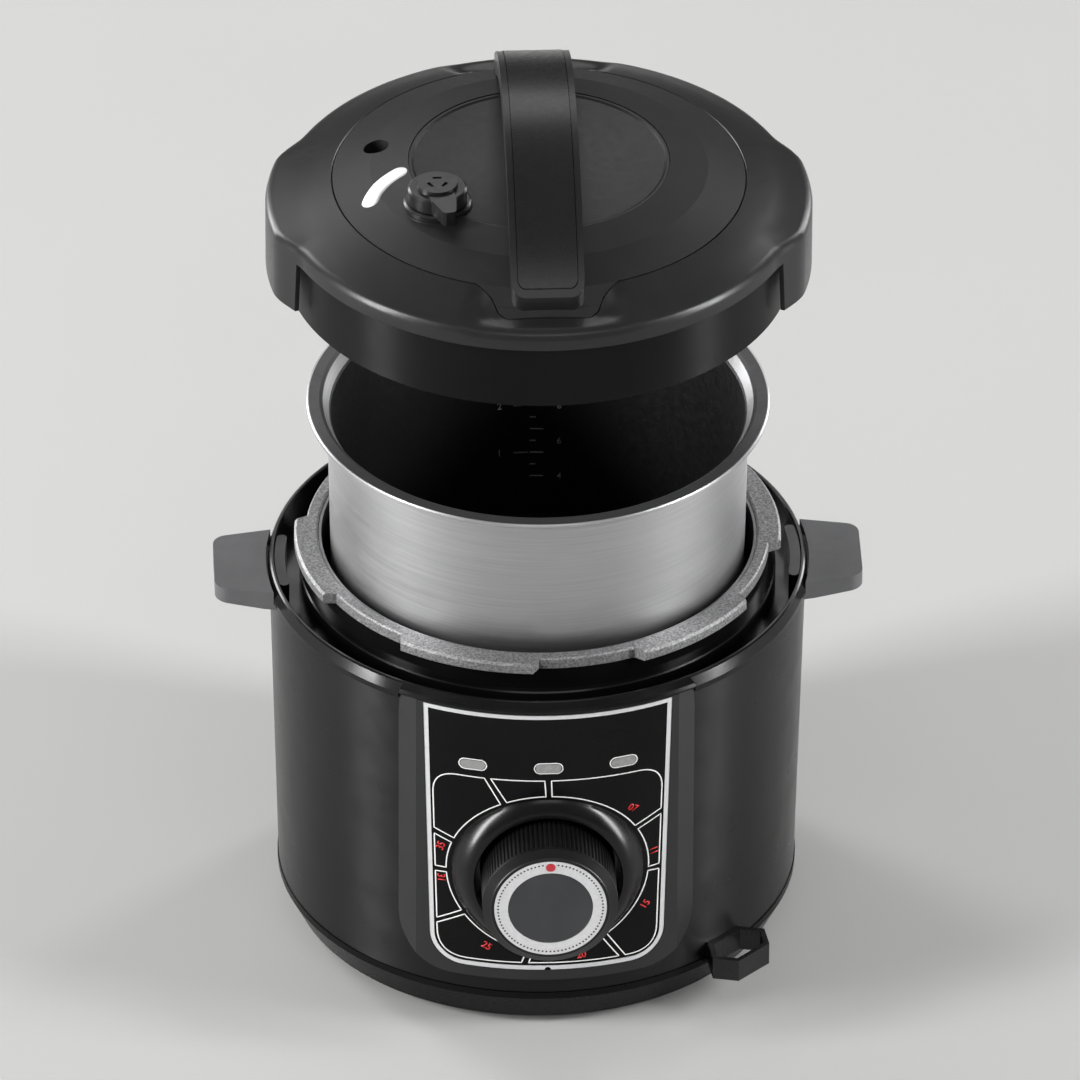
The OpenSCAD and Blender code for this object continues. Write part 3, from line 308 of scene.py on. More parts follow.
class Shader:
    """A procedural finish on Object coordinates, built step by step."""

    def __init__(self, name, colour, roughness, metallic=0.0):
        self.material = bpy.data.materials.new(name)
        self.material.use_nodes = True
        self.tree = self.material.node_tree
        self.body = self.tree.nodes["Principled BSDF"]
        self.body.inputs["Base Color"].default_value = (*colour, 1)
        self.body.inputs["Roughness"].default_value = roughness
        self.body.inputs["Metallic"].default_value = metallic
        self.place = self.tree.nodes.new("ShaderNodeTexCoord")
        self.heights = []

    def link(self, start, end):
        self.tree.links.new(start, end)

    def set(self, **values):
        """Sets sockets by their names in small letters, with underscores."""
        for name, value in values.items():
            socket = name.replace("_", " ").title().replace("Ior", "IOR")
            self.body.inputs[socket].default_value = value
        return self

    def noise(self, scale, detail, stretch=(1, 1, 1)):
        mapping = self.tree.nodes.new("ShaderNodeMapping")
        mapping.inputs["Scale"].default_value = stretch
        self.link(self.place.outputs["Object"], mapping.inputs["Vector"])
        noise = self.tree.nodes.new("ShaderNodeTexNoise")
        noise.inputs["Scale"].default_value = scale
        noise.inputs["Detail"].default_value = detail
        self.link(mapping.outputs["Vector"], noise.inputs["Vector"])
        return noise.outputs["Fac"]

    def spread(self, value, low, high, low_in=0.3, high_in=0.7):
        """Maps a value to a range."""
        node = self.tree.nodes.new("ShaderNodeMapRange")
        node.inputs["From Min"].default_value = low_in
        node.inputs["From Max"].default_value = high_in
        node.inputs["To Min"].default_value = low
        node.inputs["To Max"].default_value = high
        self.link(value, node.inputs["Value"])
        return node.outputs["Result"]

    def sum(self, first, second, operation="ADD"):
        """A sum or another operation on two values, each a number or a socket."""
        node = self.tree.nodes.new("ShaderNodeMath")
        node.operation = operation
        for socket, value in zip(node.inputs, (first, second)):
            if isinstance(value, (int, float)):
                socket.default_value = value
            else:
                self.link(value, socket)
        return node.outputs["Value"]

    def height_and_reach(self):
        """Object Z, and the distance from the cooker's axis."""
        split = self.tree.nodes.new("ShaderNodeSeparateXYZ")
        self.link(self.place.outputs["Object"], split.inputs["Vector"])
        x, y, z = split.outputs
        square = self.sum(self.sum(x, x, "MULTIPLY"), self.sum(y, y, "MULTIPLY"))
        return z, self.sum(square, 0.5, "POWER")

    def blend(self, fac, first, second):
        """Colour between two colours, each a triple or a socket."""
        node = self.tree.nodes.new("ShaderNodeMix")
        node.data_type = "RGBA"
        self.link(fac, node.inputs["Factor"])
        for socket, value in ((node.inputs["A"], first), (node.inputs["B"], second)):
            if isinstance(value, tuple):
                socket.default_value = (*value, 1)
            else:
                self.link(value, socket)
        return node.outputs["Result"]

    def mottle(self, colour, scale, by, detail=3.0, stretch=(1, 1, 1)):
        """Lets the colour wander by a share of itself."""
        low, high = tint(colour, 1 - by), tint(colour, 1 + by)
        result = self.blend(self.spread(self.noise(scale, detail, stretch), 0, 1), low, high)
        self.link(result, self.body.inputs["Base Color"])
        return self

    def wander(self, low, high, scale, detail=2.0, stretch=(1, 1, 1)):
        """Lets the roughness wander between two values."""
        result = self.spread(self.noise(scale, detail, stretch), low, high)
        self.link(result, self.body.inputs["Roughness"])
        return self

    def bump(self, height, depth, strength):
        node = self.tree.nodes.new("ShaderNodeBump")
        node.inputs["Distance"].default_value = depth
        node.inputs["Strength"].default_value = strength
        self.link(height, node.inputs["Height"])
        if self.heights:
            self.link(self.heights[-1], node.inputs["Normal"])
        self.heights.append(node.outputs["Normal"])
        self.link(node.outputs["Normal"], self.body.inputs["Normal"])
        return self

    def grain(self, pitch, depth, strength, detail=2.0, stretch=(1, 1, 1)):
        """Fine relief with features of about the given pitch."""
        return self.bump(self.noise(1 / pitch, detail, stretch), depth, strength)

    def draw_round(self, amount):
        """Brushed round the upright axis, so a lamp shows as an upright streak."""
        self.set(anisotropic=amount, anisotropic_rotation=0.25)
        round_body = self.tree.nodes.new("ShaderNodeTangent")
        round_body.direction_type = "RADIAL"
        round_body.axis = "Z"
        self.link(round_body.outputs["Tangent"], self.body.inputs["Tangent"])
        return self


def wear(node, finish):
    """Gives a CAD node its finish."""
    dress(NODES[node], finish)


def dress(obj, finish):
    """Gives a piece its one finish."""
    obj.data.materials.clear()
    obj.data.materials.append(finish.material)


def gloss_plastic(name, colour, low, high):
    """Polished moulding with faint sink marks."""
    finish = Shader(name, colour, low)
    finish.mottle(colour, 18, 0.25).wander(low, high, 55, 4)
    finish.grain(22 * MM, 0.10 * MM, 0.35).grain(0.5 * MM, 0.004 * MM, 0.5)
    return finish.set(specular_ior_level=0.25)


def drawn_lacquer(name, colour, roughness, specular=0.26):
    """Lacquer over metal that is drawn round the body."""
    finish = Shader(name, colour, roughness)
    finish.mottle(colour, 18, 0.25).wander(roughness - 0.03, roughness + 0.03, 55, 4)
    finish.grain(22 * MM, 0.08 * MM, 0.3).grain(0.5 * MM, 0.003 * MM, 0.4)
    return finish.set(specular_ior_level=specular).draw_round(0.9)


def satin_plastic(name, colour, low, high, pitch=0.55, depth=0.03):
    """Spark-eroded moulding; the pitch and depth of its fine even grain are in millimetres."""
    finish = Shader(name, colour, low)
    finish.mottle(colour, 60, 0.08).wander(low + 0.02, high - 0.02, 260, 4)
    finish.set(specular_ior_level=0.35)
    return finish.grain(pitch * MM, depth * MM, 0.6, 3)


def plain_metal(name, colour, low, high, pitch=0.4, depth=0.008, stretch=(1, 1, 1)):
    """Bare or plated metal; the pitch and depth of its grain are in millimetres."""
    finish = Shader(name, colour, low, 1.0)
    finish.mottle(colour, 45, 0.08, stretch=stretch).wander(low, high, 160, 3, stretch)
    return finish.grain(pitch * MM, depth * MM, 0.5, 2, stretch)


def painted(name, colour):
    """Printed or painted ink, a little uneven."""
    finish = Shader(name, colour, 0.35)
    finish.mottle(colour, 900, 0.06).wander(0.35, 0.5, 400, 2)
    return finish.grain(0.3 * MM, 0.006 * MM, 0.4)


SATIN_MOULDINGS = (
    # node, finish, share of the satin black, least and most roughness, grain's pitch and depth
    ("lid_cover", "Lid rim satin", 1, 0.26, 0.36, 0.6, 0.02),
    ("lid_handle", "Lid handle satin", 0.8, 0.28, 0.36, 0.5, 0.02),
    ("handle_cover", "Handle inlay", 0.7, 0.24, 0.32, 0.5, 0.012),
    ("handle_left", "Side handle satin left", 7.5, 0.42, 0.54, 0.7, 0.05),
    ("handle_right", "Side handle satin right", 7.5, 0.42, 0.54, 0.7, 0.05),
    ("front_bezel", "Bezel satin", 1.1, 0.3, 0.4, 0.6, 0.025),
    ("ladle_socket", "Spoon holder", 0.7, 0.22, 0.3, 0.6, 0.02),
    ("mains_inlet", "Inlet socket", 0.8, 0.42, 0.55, 0.5, 0.04),
    ("valve_base", "Steam valve base", 0.75, 0.26, 0.36, 0.5, 0.025),
    ("valve_knob", "Steam valve knob", 0.75, 0.26, 0.36, 0.5, 0.025),
    ("selector_knob", "Knob body", 0.35, 0.3, 0.4, 0.4, 0.02),
)
CAP_GREY = (0.055, 0.056, 0.06)
RUBBER_BLACK = (0.02, 0.02, 0.02)
CASE_BUFF = (0.55, 0.52, 0.44)


class COOKER_OT_black_parts(bpy.types.Operator):
    """Give every black moulding its gloss, satin or grained plastic"""
    bl_idname = "cooker.black_parts"
    bl_label = "Black Mouldings"

    def execute(self, context):
        colours = context.scene.cooker_colours
        gloss, satin = tuple(colours.gloss), tuple(colours.satin)
        wear("housing_shell", drawn_lacquer("Housing lacquer", gloss, 0.3))
        wear("inner_lid", drawn_lacquer("Lid skirt gloss", gloss, 0.32, 0.14))
        wear("top_ring", gloss_plastic("Top ring gloss", tint(gloss, 1.2), 0.14, 0.24))
        wear("dial_dish", gloss_plastic("Dish gloss", gloss, 0.14, 0.2))
        film = gloss_plastic("Panel film", tint(gloss, 0.9), 0.2, 0.3)
        wear("control_panel", film.set(specular_ior_level=0.12))
        pan = satin_plastic("Base pan", gloss, 0.24, 0.34, 0.8)
        wear("base_pan", pan.set(specular_ior_level=0.1))
        lid = satin_plastic("Lid satin", satin, 0.36, 0.46)
        for node in ("lid_cap", "lid_dish"):
            wear(node, lid)
        for node, name, share, low, high, pitch, depth in SATIN_MOULDINGS:
            wear(node, satin_plastic(name, tint(satin, share), low, high, pitch, depth))
        cap = plain_metal("Knob cap", CAP_GREY, 0.38, 0.46, 0.3, 0.004)
        wear("knob_cap", cap.set(metallic=0.6))
        for node in ("rubber_feet", "float_seal"):
            wear(node, satin_plastic("Rubber " + node, RUBBER_BLACK, 0.7, 0.85, 0.5, 0.05))
        wear("timer_unit", satin_plastic("Timer case", CASE_BUFF, 0.45, 0.55))
        return {"FINISHED"}


PLAIN_METALS = (
    # node, finish, colour, least and most roughness
    ("heating_element", "Element sheath", (0.25, 0.24, 0.23), 0.5, 0.62),
    ("pot_sensor", "Sensor cap", (0.7, 0.7, 0.7), 0.3, 0.42),
    ("sensor_bracket", "Sensor bracket", (0.5, 0.5, 0.5), 0.36, 0.5),
    ("sensor_spring", "Spring wire", (0.6, 0.6, 0.6), 0.24, 0.36),
    ("float_pin", "Float pin", (0.34, 0.04, 0.04), 0.3, 0.4),
    ("lid_nut", "Brass nut", (0.6, 0.43, 0.19), 0.3, 0.44),
    ("inlet_pins", "Inlet pins", (0.62, 0.5, 0.28), 0.24, 0.36),
)
PLATED_STEEL = (0.62, 0.62, 0.63)
STAINLESS = (0.6, 0.59, 0.58)
LINER_STEEL = (0.19, 0.19, 0.195)
PLATE_GREY = (0.62, 0.62, 0.62)
CAST_GREY = (0.215, 0.215, 0.217)
RING_SILVER = (0.6, 0.6, 0.605)
MARK_RED = (0.42, 0.02, 0.03)
WINDOW_GREY = (0.24, 0.24, 0.235)
BOARD_GREEN = (0.02, 0.09, 0.035)
SEAL_WHITE = (0.5, 0.5, 0.49)


class COOKER_OT_metal_parts(bpy.types.Operator):
    """Give the collar, trim, plates, fasteners, lamp windows, board and seal their finishes"""
    bl_idname = "cooker.metal_parts"
    bl_label = "Metal Parts"

    def execute(self, context):
        silver = tuple(context.scene.cooker_colours.silver)
        cast = Shader("Cast collar", CAST_GREY, 0.5, 0.6)
        cast.mottle(CAST_GREY, 900, 0.55, 5).wander(0.36, 0.6, 600, 4)
        cast.grain(1.3 * MM, 0.28 * MM, 0.8, 5).grain(0.35 * MM, 0.05 * MM, 0.6)
        wear("locking_collar", cast)
        trim = Shader("Trim silver", silver, 0.3, 0.45)
        trim.mottle(silver, 300, 0.04).wander(0.28, 0.36, 500, 3)
        wear("panel_trim", trim.grain(0.25 * MM, 0.002 * MM, 0.2))
        ring = Shader("Knob ring silver", RING_SILVER, 0.4, 0.25)
        ring.mottle(RING_SILVER, 700, 0.07, 4).wander(0.3, 0.46, 900, 3)
        wear("knob_ring", ring.grain(0.3 * MM, 0.012 * MM, 0.5))
        wear("knob_pointer", painted("Knob mark red", MARK_RED))
        window = Shader("Lamp windows", WINDOW_GREY, 0.3)
        window.mottle(WINDOW_GREY, 700, 0.08).wander(0.22, 0.36, 300)
        wear("indicator_lenses", window.grain(0.5 * MM, 0.02 * MM, 0.5))
        wear("pot_liner", plain_metal("Liner steel", LINER_STEEL, 0.34, 0.46, 0.3, 0.01, (1, 1, 30)))
        wear("hotplate", plain_metal("Hotplate", PLATE_GREY, 0.4, 0.52, 0.5, 0.03))
        for node, name, colour, low, high in PLAIN_METALS:
            wear(node, plain_metal(name, colour, low, high))
        for node in ("base_screws", "handle_screws", "timer_shaft", "valve_weight"):
            wear(node, plain_metal("Plated steel " + node, PLATED_STEEL, 0.24, 0.36))
        for node in ("seal_hoop", "vent_pipe", "vent_filter", "float_guide"):
            wear(node, plain_metal("Stainless " + node, STAINLESS, 0.26, 0.38))
        board = Shader("Circuit board", BOARD_GREEN, 0.4)
        board.mottle(BOARD_GREEN, 400, 0.3).wander(0.3, 0.5, 200)
        wear("lamp_board", board.grain(0.8 * MM, 0.03 * MM, 0.5))
        seal = Shader("Silicone seal", SEAL_WHITE, 0.5)
        seal.mottle(SEAL_WHITE, 60, 0.06).wander(0.44, 0.58, 90)
        seal.grain(0.6 * MM, 0.03 * MM, 0.5)
        wear("sealing_ring", seal.set(subsurface_weight=0.15))
        return {"FINISHED"}


WALL_FROM_RIM = 10.5 * MM       # from the rim's edge to the wall's outer face, at the top
WALL_SLOPE = 2.5 / 150          # inwards, for each unit below the rim
HALF_WALL = 0.9 * MM
BARE_EDGE, RIM_DEPTH = 1.1 * MM, 1.2 * MM
COAT_BLACK = (0.011, 0.011, 0.0115)
COAT_FLECK = (0.04, 0.04, 0.04)
RIM_COAT = (0.032, 0.032, 0.033)


class COOKER_OT_pot_finish(bpy.types.Operator):
    """Give the inner pot its satin outside, its bare rim edge and its dark coating inside"""
    bl_idname = "cooker.pot_finish"
    bl_label = "Pot Finish"

    def execute(self, context):
        outside = tuple(context.scene.cooker_colours.pot)
        pot = Shader("Pot, satin outside and coated inside", outside, 0.4, 1.0)
        z, away = pot.height_and_reach()
        wall_top = POT_HIGH.x - WALL_FROM_RIM
        lean = pot.sum(pot.sum(z, -POT_HIGH.z), WALL_SLOPE, "MULTIPLY")
        inward = pot.sum(away, pot.sum(lean, wall_top - HALF_WALL), "LESS_THAN")
        above = pot.sum(z, POT_LOW.z + HALF_WALL, "GREATER_THAN")
        flange = pot.sum(pot.sum(z, POT_HIGH.z - RIM_DEPTH, "GREATER_THAN"),
                         pot.sum(away, POT_HIGH.x - BARE_EDGE, "LESS_THAN"), "MULTIPLY")
        coated = pot.sum(pot.sum(inward, above, "MULTIPLY"), flange, "MAXIMUM")
        spun = pot.noise(900, 2, (0.02, 0.02, 1))
        bright = pot.blend(pot.spread(spun, 0, 1), tint(outside, 0.93), tint(outside, 1.06))
        fleck = pot.blend(pot.spread(pot.noise(1400, 2), 0, 1, 0.62, 0.7), COAT_BLACK, COAT_FLECK)
        rim_coat = pot.blend(flange, fleck, RIM_COAT)
        pot.link(pot.blend(coated, bright, rim_coat), pot.body.inputs["Base Color"])
        pot.link(pot.spread(coated, 1, 0, 0, 1), pot.body.inputs["Metallic"])
        smooth = pot.spread(pot.noise(220, 3, (0.1, 0.1, 1)), 0.37, 0.41)
        coat = pot.spread(pot.noise(260, 3), 0.34, 0.46)
        mix = pot.tree.nodes.new("ShaderNodeMix")
        pot.link(coated, mix.inputs["Factor"])
        pot.link(smooth, mix.inputs["A"])
        pot.link(coat, mix.inputs["B"])
        pot.link(mix.outputs["Result"], pot.body.inputs["Roughness"])
        pot.bump(spun, 0.012 * MM, 0.5)
        pot.grain(0.4 * MM, 0.012 * MM, 0.5).draw_round(0.3)
        wear("inner_pot", pot)
        return {"FINISHED"}


# ---------- panel print ----------

ROUTE_STEP = 1.2 * MM
INK_LIFT, INK_SKIN = 0.06 * MM, 0.05 * MM
RING_LINE = (51.8 * MM, 48.4 * MM)
RING_MIDDLE = (0, DIAL_HEIGHT + 0.6 * MM)
TRIM_WIDTH = 2.4 * MM
TRIM_LEAN = 4 * MM              # of each side, from the panel's top to its foot
FOOT_HEIGHT = PANEL_LOW.z + TRIM_WIDTH + 1.7 * MM
LEFT, RIGHT, FOOT, TOP = "left", "right", "foot", 58.7


def rounded(corners):
    """Closed route through corners, each rounded by its own softness."""
    route = []
    count = len(corners)
    for i, (x, y, soft) in enumerate(corners):
        here = Vector((x, y))
        if soft <= 0:
            route.append(tuple(here))
            continue
        before, after = Vector(corners[i - 1][:2]), Vector(corners[(i + 1) % count][:2])
        to_before, to_after = before - here, after - here
        half = to_before.angle(to_after) / 2
        run = min(soft / math.tan(half), 0.9 * to_before.length, 0.9 * to_after.length)
        start, end = here + to_before.normalized() * run, here + to_after.normalized() * run
        pieces = max(2, int(run / ROUTE_STEP) + 2)
        for k in range(pieces + 1):
            t = k / pieces
            route.append(tuple(start * (1 - t) ** 2 + here * 2 * t * (1 - t) + end * t ** 2))
    return fill_in(route)


def fill_in(route, closed=True):
    """Adds points on the way, so that each is at most a step from the next."""
    dense = []
    for i, (x, y) in enumerate(route):
        dense.append((x, y))
        if not closed and i == len(route) - 1:
            break
        next_x, next_y = route[(i + 1) % len(route)]
        extra = int(math.dist((x, y), (next_x, next_y)) / ROUTE_STEP)
        for k in range(1, extra + 1):
            t = k / (extra + 1)
            dense.append((x + (next_x - x) * t, y + (next_y - y) * t))
    return dense


def ring_arc(start, end):
    """Sharp corners on the oval round the dial, between angles from the right, anticlockwise."""
    steps = max(2, int(abs(end - start) / 2.5))
    corners = []
    for k in range(steps + 1):
        a = math.radians(start + (end - start) * k / steps)
        x = RING_MIDDLE[0] + RING_LINE[0] * math.cos(a)
        y = RING_MIDDLE[1] + RING_LINE[1] * math.sin(a)
        corners.append((x, y, 0))
    return corners


def panel_corner(across, height, soft, margin):
    """A field's outer corner, from a row of FIELDS; the panel's sides lean inwards at the foot."""
    z = FOOT_HEIGHT if height == FOOT else DIAL_HEIGHT + height * MM
    down = (PANEL_HIGH.z - z) / (PANEL_HIGH.z - PANEL_LOW.z)
    side = PANEL_HIGH.x - TRIM_LEAN * down - TRIM_WIDTH - margin
    if across == LEFT:
        return -side, z, soft * MM
    if across == RIGHT:
        return side, z, soft * MM
    return across * MM, z, soft * MM


def print_on_panel(ink):
    stand_up(ink, -PANEL_RADIUS - 6 * MM)
    press_on(ink, "control_panel", "Y", INK_LIFT)
    thicken(ink, INK_SKIN)


FIELDS = (
    # first and last angle on the oval, then the outer corners: each a side or millimetres
    # across, the foot or millimetres over the dial, and its softness in millimetres
    (118.0, 157.6, ((LEFT, 23.2, 0), (LEFT, TOP, 13), (-32.6, TOP, 0))),
    (91.4, 114.2, ((-29.4, TOP, 0), (-1.9, TOP, 0))),
    (30.6, 88.0, ((1.5, TOP, 0), (RIGHT, TOP, 13), (RIGHT, 32.2, 0))),
    (-3.4, 27.2, ((RIGHT, 28.8, 0), (RIGHT, -1.8, 0))),
    (-54.3, -6.2, ((RIGHT, -5.0, 0), (RIGHT, FOOT, 15), (40.0, FOOT, 0))),
    (-98.4, -57.8, ((36.7, FOOT, 0), (-9.8, FOOT, 0))),
    (215.0, 257.8, ((-13.4, FOOT, 0), (LEFT, FOOT, 15), (LEFT, -35.4, 0))),
    (184.2, 211.8, ((LEFT, -32.4, 0), (LEFT, -3.4, 0))),
    (161.4, 180.8, ((LEFT, -0.2, 0), (LEFT, 19.6, 0))),
)
WINDOW_SPACING = math.radians(15.8)
WINDOW_STRAIGHT, WINDOW_ROUND = 4.1 * MM, 3.1 * MM      # half-length of its flat, radius of its ends
WINDOW_POINTS = 32


class COOKER_OT_panel_lines(bpy.types.Operator):
    """Print the fields round the dial and the outlines of the lamps on the control panel"""
    bl_idname = "cooker.panel_lines"
    bl_label = "Panel Fields"

    def execute(self, context):
        sizes = context.scene.cooker_print
        lines = []
        for start, end, outer in FIELDS:
            corners = ring_arc(start, end) + [panel_corner(*place, sizes.margin) for place in outer]
            lines.append(lay_ribbon("field", rounded(corners), sizes.line, closed=True))
        for i in (-1, 0, 1):
            middle = i * WINDOW_SPACING
            route = []
            for k in range(WINDOW_POINTS):
                turn = 2 * math.pi * k / WINDOW_POINTS
                side = 1 if math.cos(turn) > 0 else -1
                u = WINDOW_STRAIGHT * side + WINDOW_ROUND * math.cos(turn)
                route.append((PANEL_RADIUS * math.sin(middle + u / PANEL_RADIUS),
                              WINDOW_HEIGHT + WINDOW_ROUND * math.sin(turn)))
            lines.append(lay_ribbon("lamp outline", route, sizes.line * 0.9, closed=True))
        ink = join(lines, "panel_lines")
        print_on_panel(ink)
        dress(ink, painted("Panel white ink", tuple(context.scene.cooker_colours.white)))
        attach(ink, "base")
        return {"FINISHED"}


MINUTES = (
    # figure, millimetres across and over the dial, turn in degrees
    ("07", 43.4, 36.4, -32),
    ("11", 54.4, 7.0, -80),
    ("15", 50.2, -25.2, 48),
    ("20", 17.3, -50.4, 8),
    ("25", -31.2, -45.2, -30),
    ("31", -54.3, -7.1, -84),
    ("35", -54.4, 12.6, 72),
)


class COOKER_OT_minutes(bpy.types.Operator):
    """Print the red minutes, plain numbers, in the fields of the control panel"""
    bl_idname = "cooker.minutes"
    bl_label = "Panel Minutes"

    def execute(self, context):
        height = context.scene.cooker_print.figure
        figures = [write_figure(text, height, (x * MM, DIAL_HEIGHT + z * MM), math.radians(turn))
                   for text, x, z, turn in MINUTES]
        ink = join(figures, "panel_minutes")
        print_on_panel(ink)
        dress(ink, painted("Panel red ink", tuple(context.scene.cooker_colours.red)))
        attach(ink, "base")
        return {"FINISHED"}


# ---------- dial ----------

SURROUND_WIDE, SURROUND_HIGH = 49.6 * MM, 47 * MM       # from the middle of the oval to its edge
SURROUND_SWELL = 4.2 * MM
SURROUND_EDGE = 1.6 * MM        # how far the oval's edge goes behind the panel's face
SURROUND_AROUND, SURROUND_ROWS = 96, 9
WELL_GAP = 3.6 * MM             # round the knob
WELL_LIP = (0.7 * MM, 0.8 * MM)
WELL_WALL = (0.8 * MM, 2.4 * MM)
WELL_HOLE = 5 * MM              # radius of the hole that the knob hides


class COOKER_OT_dial_surround(bpy.types.Operator):
    """Put the raised oval surround, with the knob's round well, over the dial's dish"""
    bl_idname = "cooker.dial_surround"
    bl_label = "Dial Surround"

    def execute(self, context):
        well = KNOB_RADIUS + WELL_GAP
        floor = -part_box("dial_dish")[0].y - 10 * MM
        crest = PANEL_RADIUS + SURROUND_SWELL
        oval = []
        for i in range(SURROUND_AROUND):
            turn = 2 * math.pi * i / SURROUND_AROUND
            oval.append(Vector((SURROUND_WIDE * math.cos(turn), SURROUND_HIGH * math.sin(turn))))
        rings = []
        for k in range(SURROUND_ROWS + 1):
            t = k / SURROUND_ROWS
            ring = []
            for edge in oval:
                face = math.sqrt(PANEL_RADIUS ** 2 - edge.x ** 2)
                spot = edge.lerp(edge.normalized() * well, t)
                depth = -face - (crest - face) * math.sin(math.pi / 2 * t ** 0.8)
                ring.append((spot.x, depth, DIAL_HEIGHT + spot.y))
            rings.append(ring)
        rings.insert(0, [(x, y + SURROUND_EDGE, z) for x, y, z in rings[0]])
        lip, wall = well - WELL_LIP[0], well - WELL_WALL[0]
        for radius, depth in ((lip, crest - WELL_LIP[1]), (wall, crest - WELL_WALL[1]),
                              (wall, floor), (WELL_HOLE, floor)):
            rings.append([(radius * x, -depth, DIAL_HEIGHT + radius * z)
                          for x, z in (edge.normalized() for edge in oval)])
        surround = loft("dial_surround", rings)
        gloss = tuple(context.scene.cooker_colours.gloss)
        finish = gloss_plastic("Surround gloss", gloss, 0.22, 0.29)
        dress(surround, finish.set(specular_ior_level=0.32))
        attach(surround, "base")
        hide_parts("dial_dish")
        return {"FINISHED"}


DOT_SIDES = 10
FIRST_DOT = 2                   # counted from the red mark, to either side
DOT_INK = (0.02, 0.02, 0.02)


class COOKER_OT_knob_dots(bpy.types.Operator):
    """Print the ring of dots on the knob"""
    bl_idname = "cooker.knob_dots"
    bl_label = "Knob Dots"

    def execute(self, context):
        sizes = context.scene.cooker_print
        radius = RING_RADIUS - 1.9 * MM
        face = RING_LOW.y - 0.02 * MM
        put_down_all()
        bpy.ops.mesh.primitive_circle_add(
            vertices=DOT_SIDES, radius=sizes.dot / 2, fill_type="NGON",
            location=(0, face, DIAL_HEIGHT + radius), rotation=(math.radians(90), 0, 0))
        first = settle(bpy.context.object)
        dots = []
        for i in range(FIRST_DOT, sizes.dots - FIRST_DOT + 1):
            dot = first.copy()
            dot.data = first.data.copy()
            bpy.context.scene.collection.objects.link(dot)
            turn = 2 * math.pi * i / sizes.dots
            dot.location = (radius * math.sin(turn), 0, radius * math.cos(turn) - radius)
            dots.append(settle(dot))
        bpy.data.objects.remove(first)
        ring = join(dots, "knob_dots")
        thicken(ring, 0.03 * MM)
        dress(ring, painted("Knob dot ink", DOT_INK))
        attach(ring, "selector")
        return {"FINISHED"}


# ---------- lid ----------

# outline of the cap's two tongues, in millimetres across and from the axis
TONGUE = ((-41, 93), (-28, 107.2), (-25.2, 113.7), (-21, 117.7),
          (21, 117.7), (25.2, 113.7), (28, 107.2), (41, 93))


def cap_edge(turn, cap_radius):
    """Distance from the axis to the edge of the cap, with its tongues under the handle's feet."""
    x, y = math.cos(turn), abs(math.sin(turn))
    reach = cap_radius
    for (x1, y1), (x2, y2) in zip(TONGUE, TONGUE[1:]):
        x1, y1, x2, y2 = x1 * MM, y1 * MM, x2 * MM, y2 * MM
        across = (x2 - x1) * y - (y2 - y1) * x
        if abs(across) > 1e-9:
            along = (x1 * -y + y1 * x) / across
            away = (x1 + (x2 - x1) * along) * x + (y1 + (y2 - y1) * along) * y
            if 0 <= along <= 1 and away > reach:
                reach = away
    return reach


COVER_COLUMNS = 480
COVER_GAP = 0.5 * MM            # round the cap
COVER_WALL = 2.4 * MM
FLANGE_OVER_SKIRT = 9.5 * MM    # the heights of the profile count from the flange
RIM_OVER_SKIRT = 4.2 * MM       # how far the rim stands out
RIM_ROUND = 4.2 * MM
RIM_FLAT = 3 * MM
CROWN, CROWN_FALL = 10.4 * MM, 9.2 * MM
SINK_FALL, SINK_RUN, SINK_FLOOR = 9.5 * MM, 14 * MM, 0.9 * MM
SINK_HALF, SINK_FADE = 22, 7            # degrees, round a tongue
EAR_TURN, EAR_HALF = 2, 22.3            # degrees, round an ear
FLARE_HALF, FLARE_FADE = 26, 12         # degrees, where the rim flows into an ear
FOOT_EDGE, FOOT_INSIDE = -9.2 * MM, -8.6 * MM


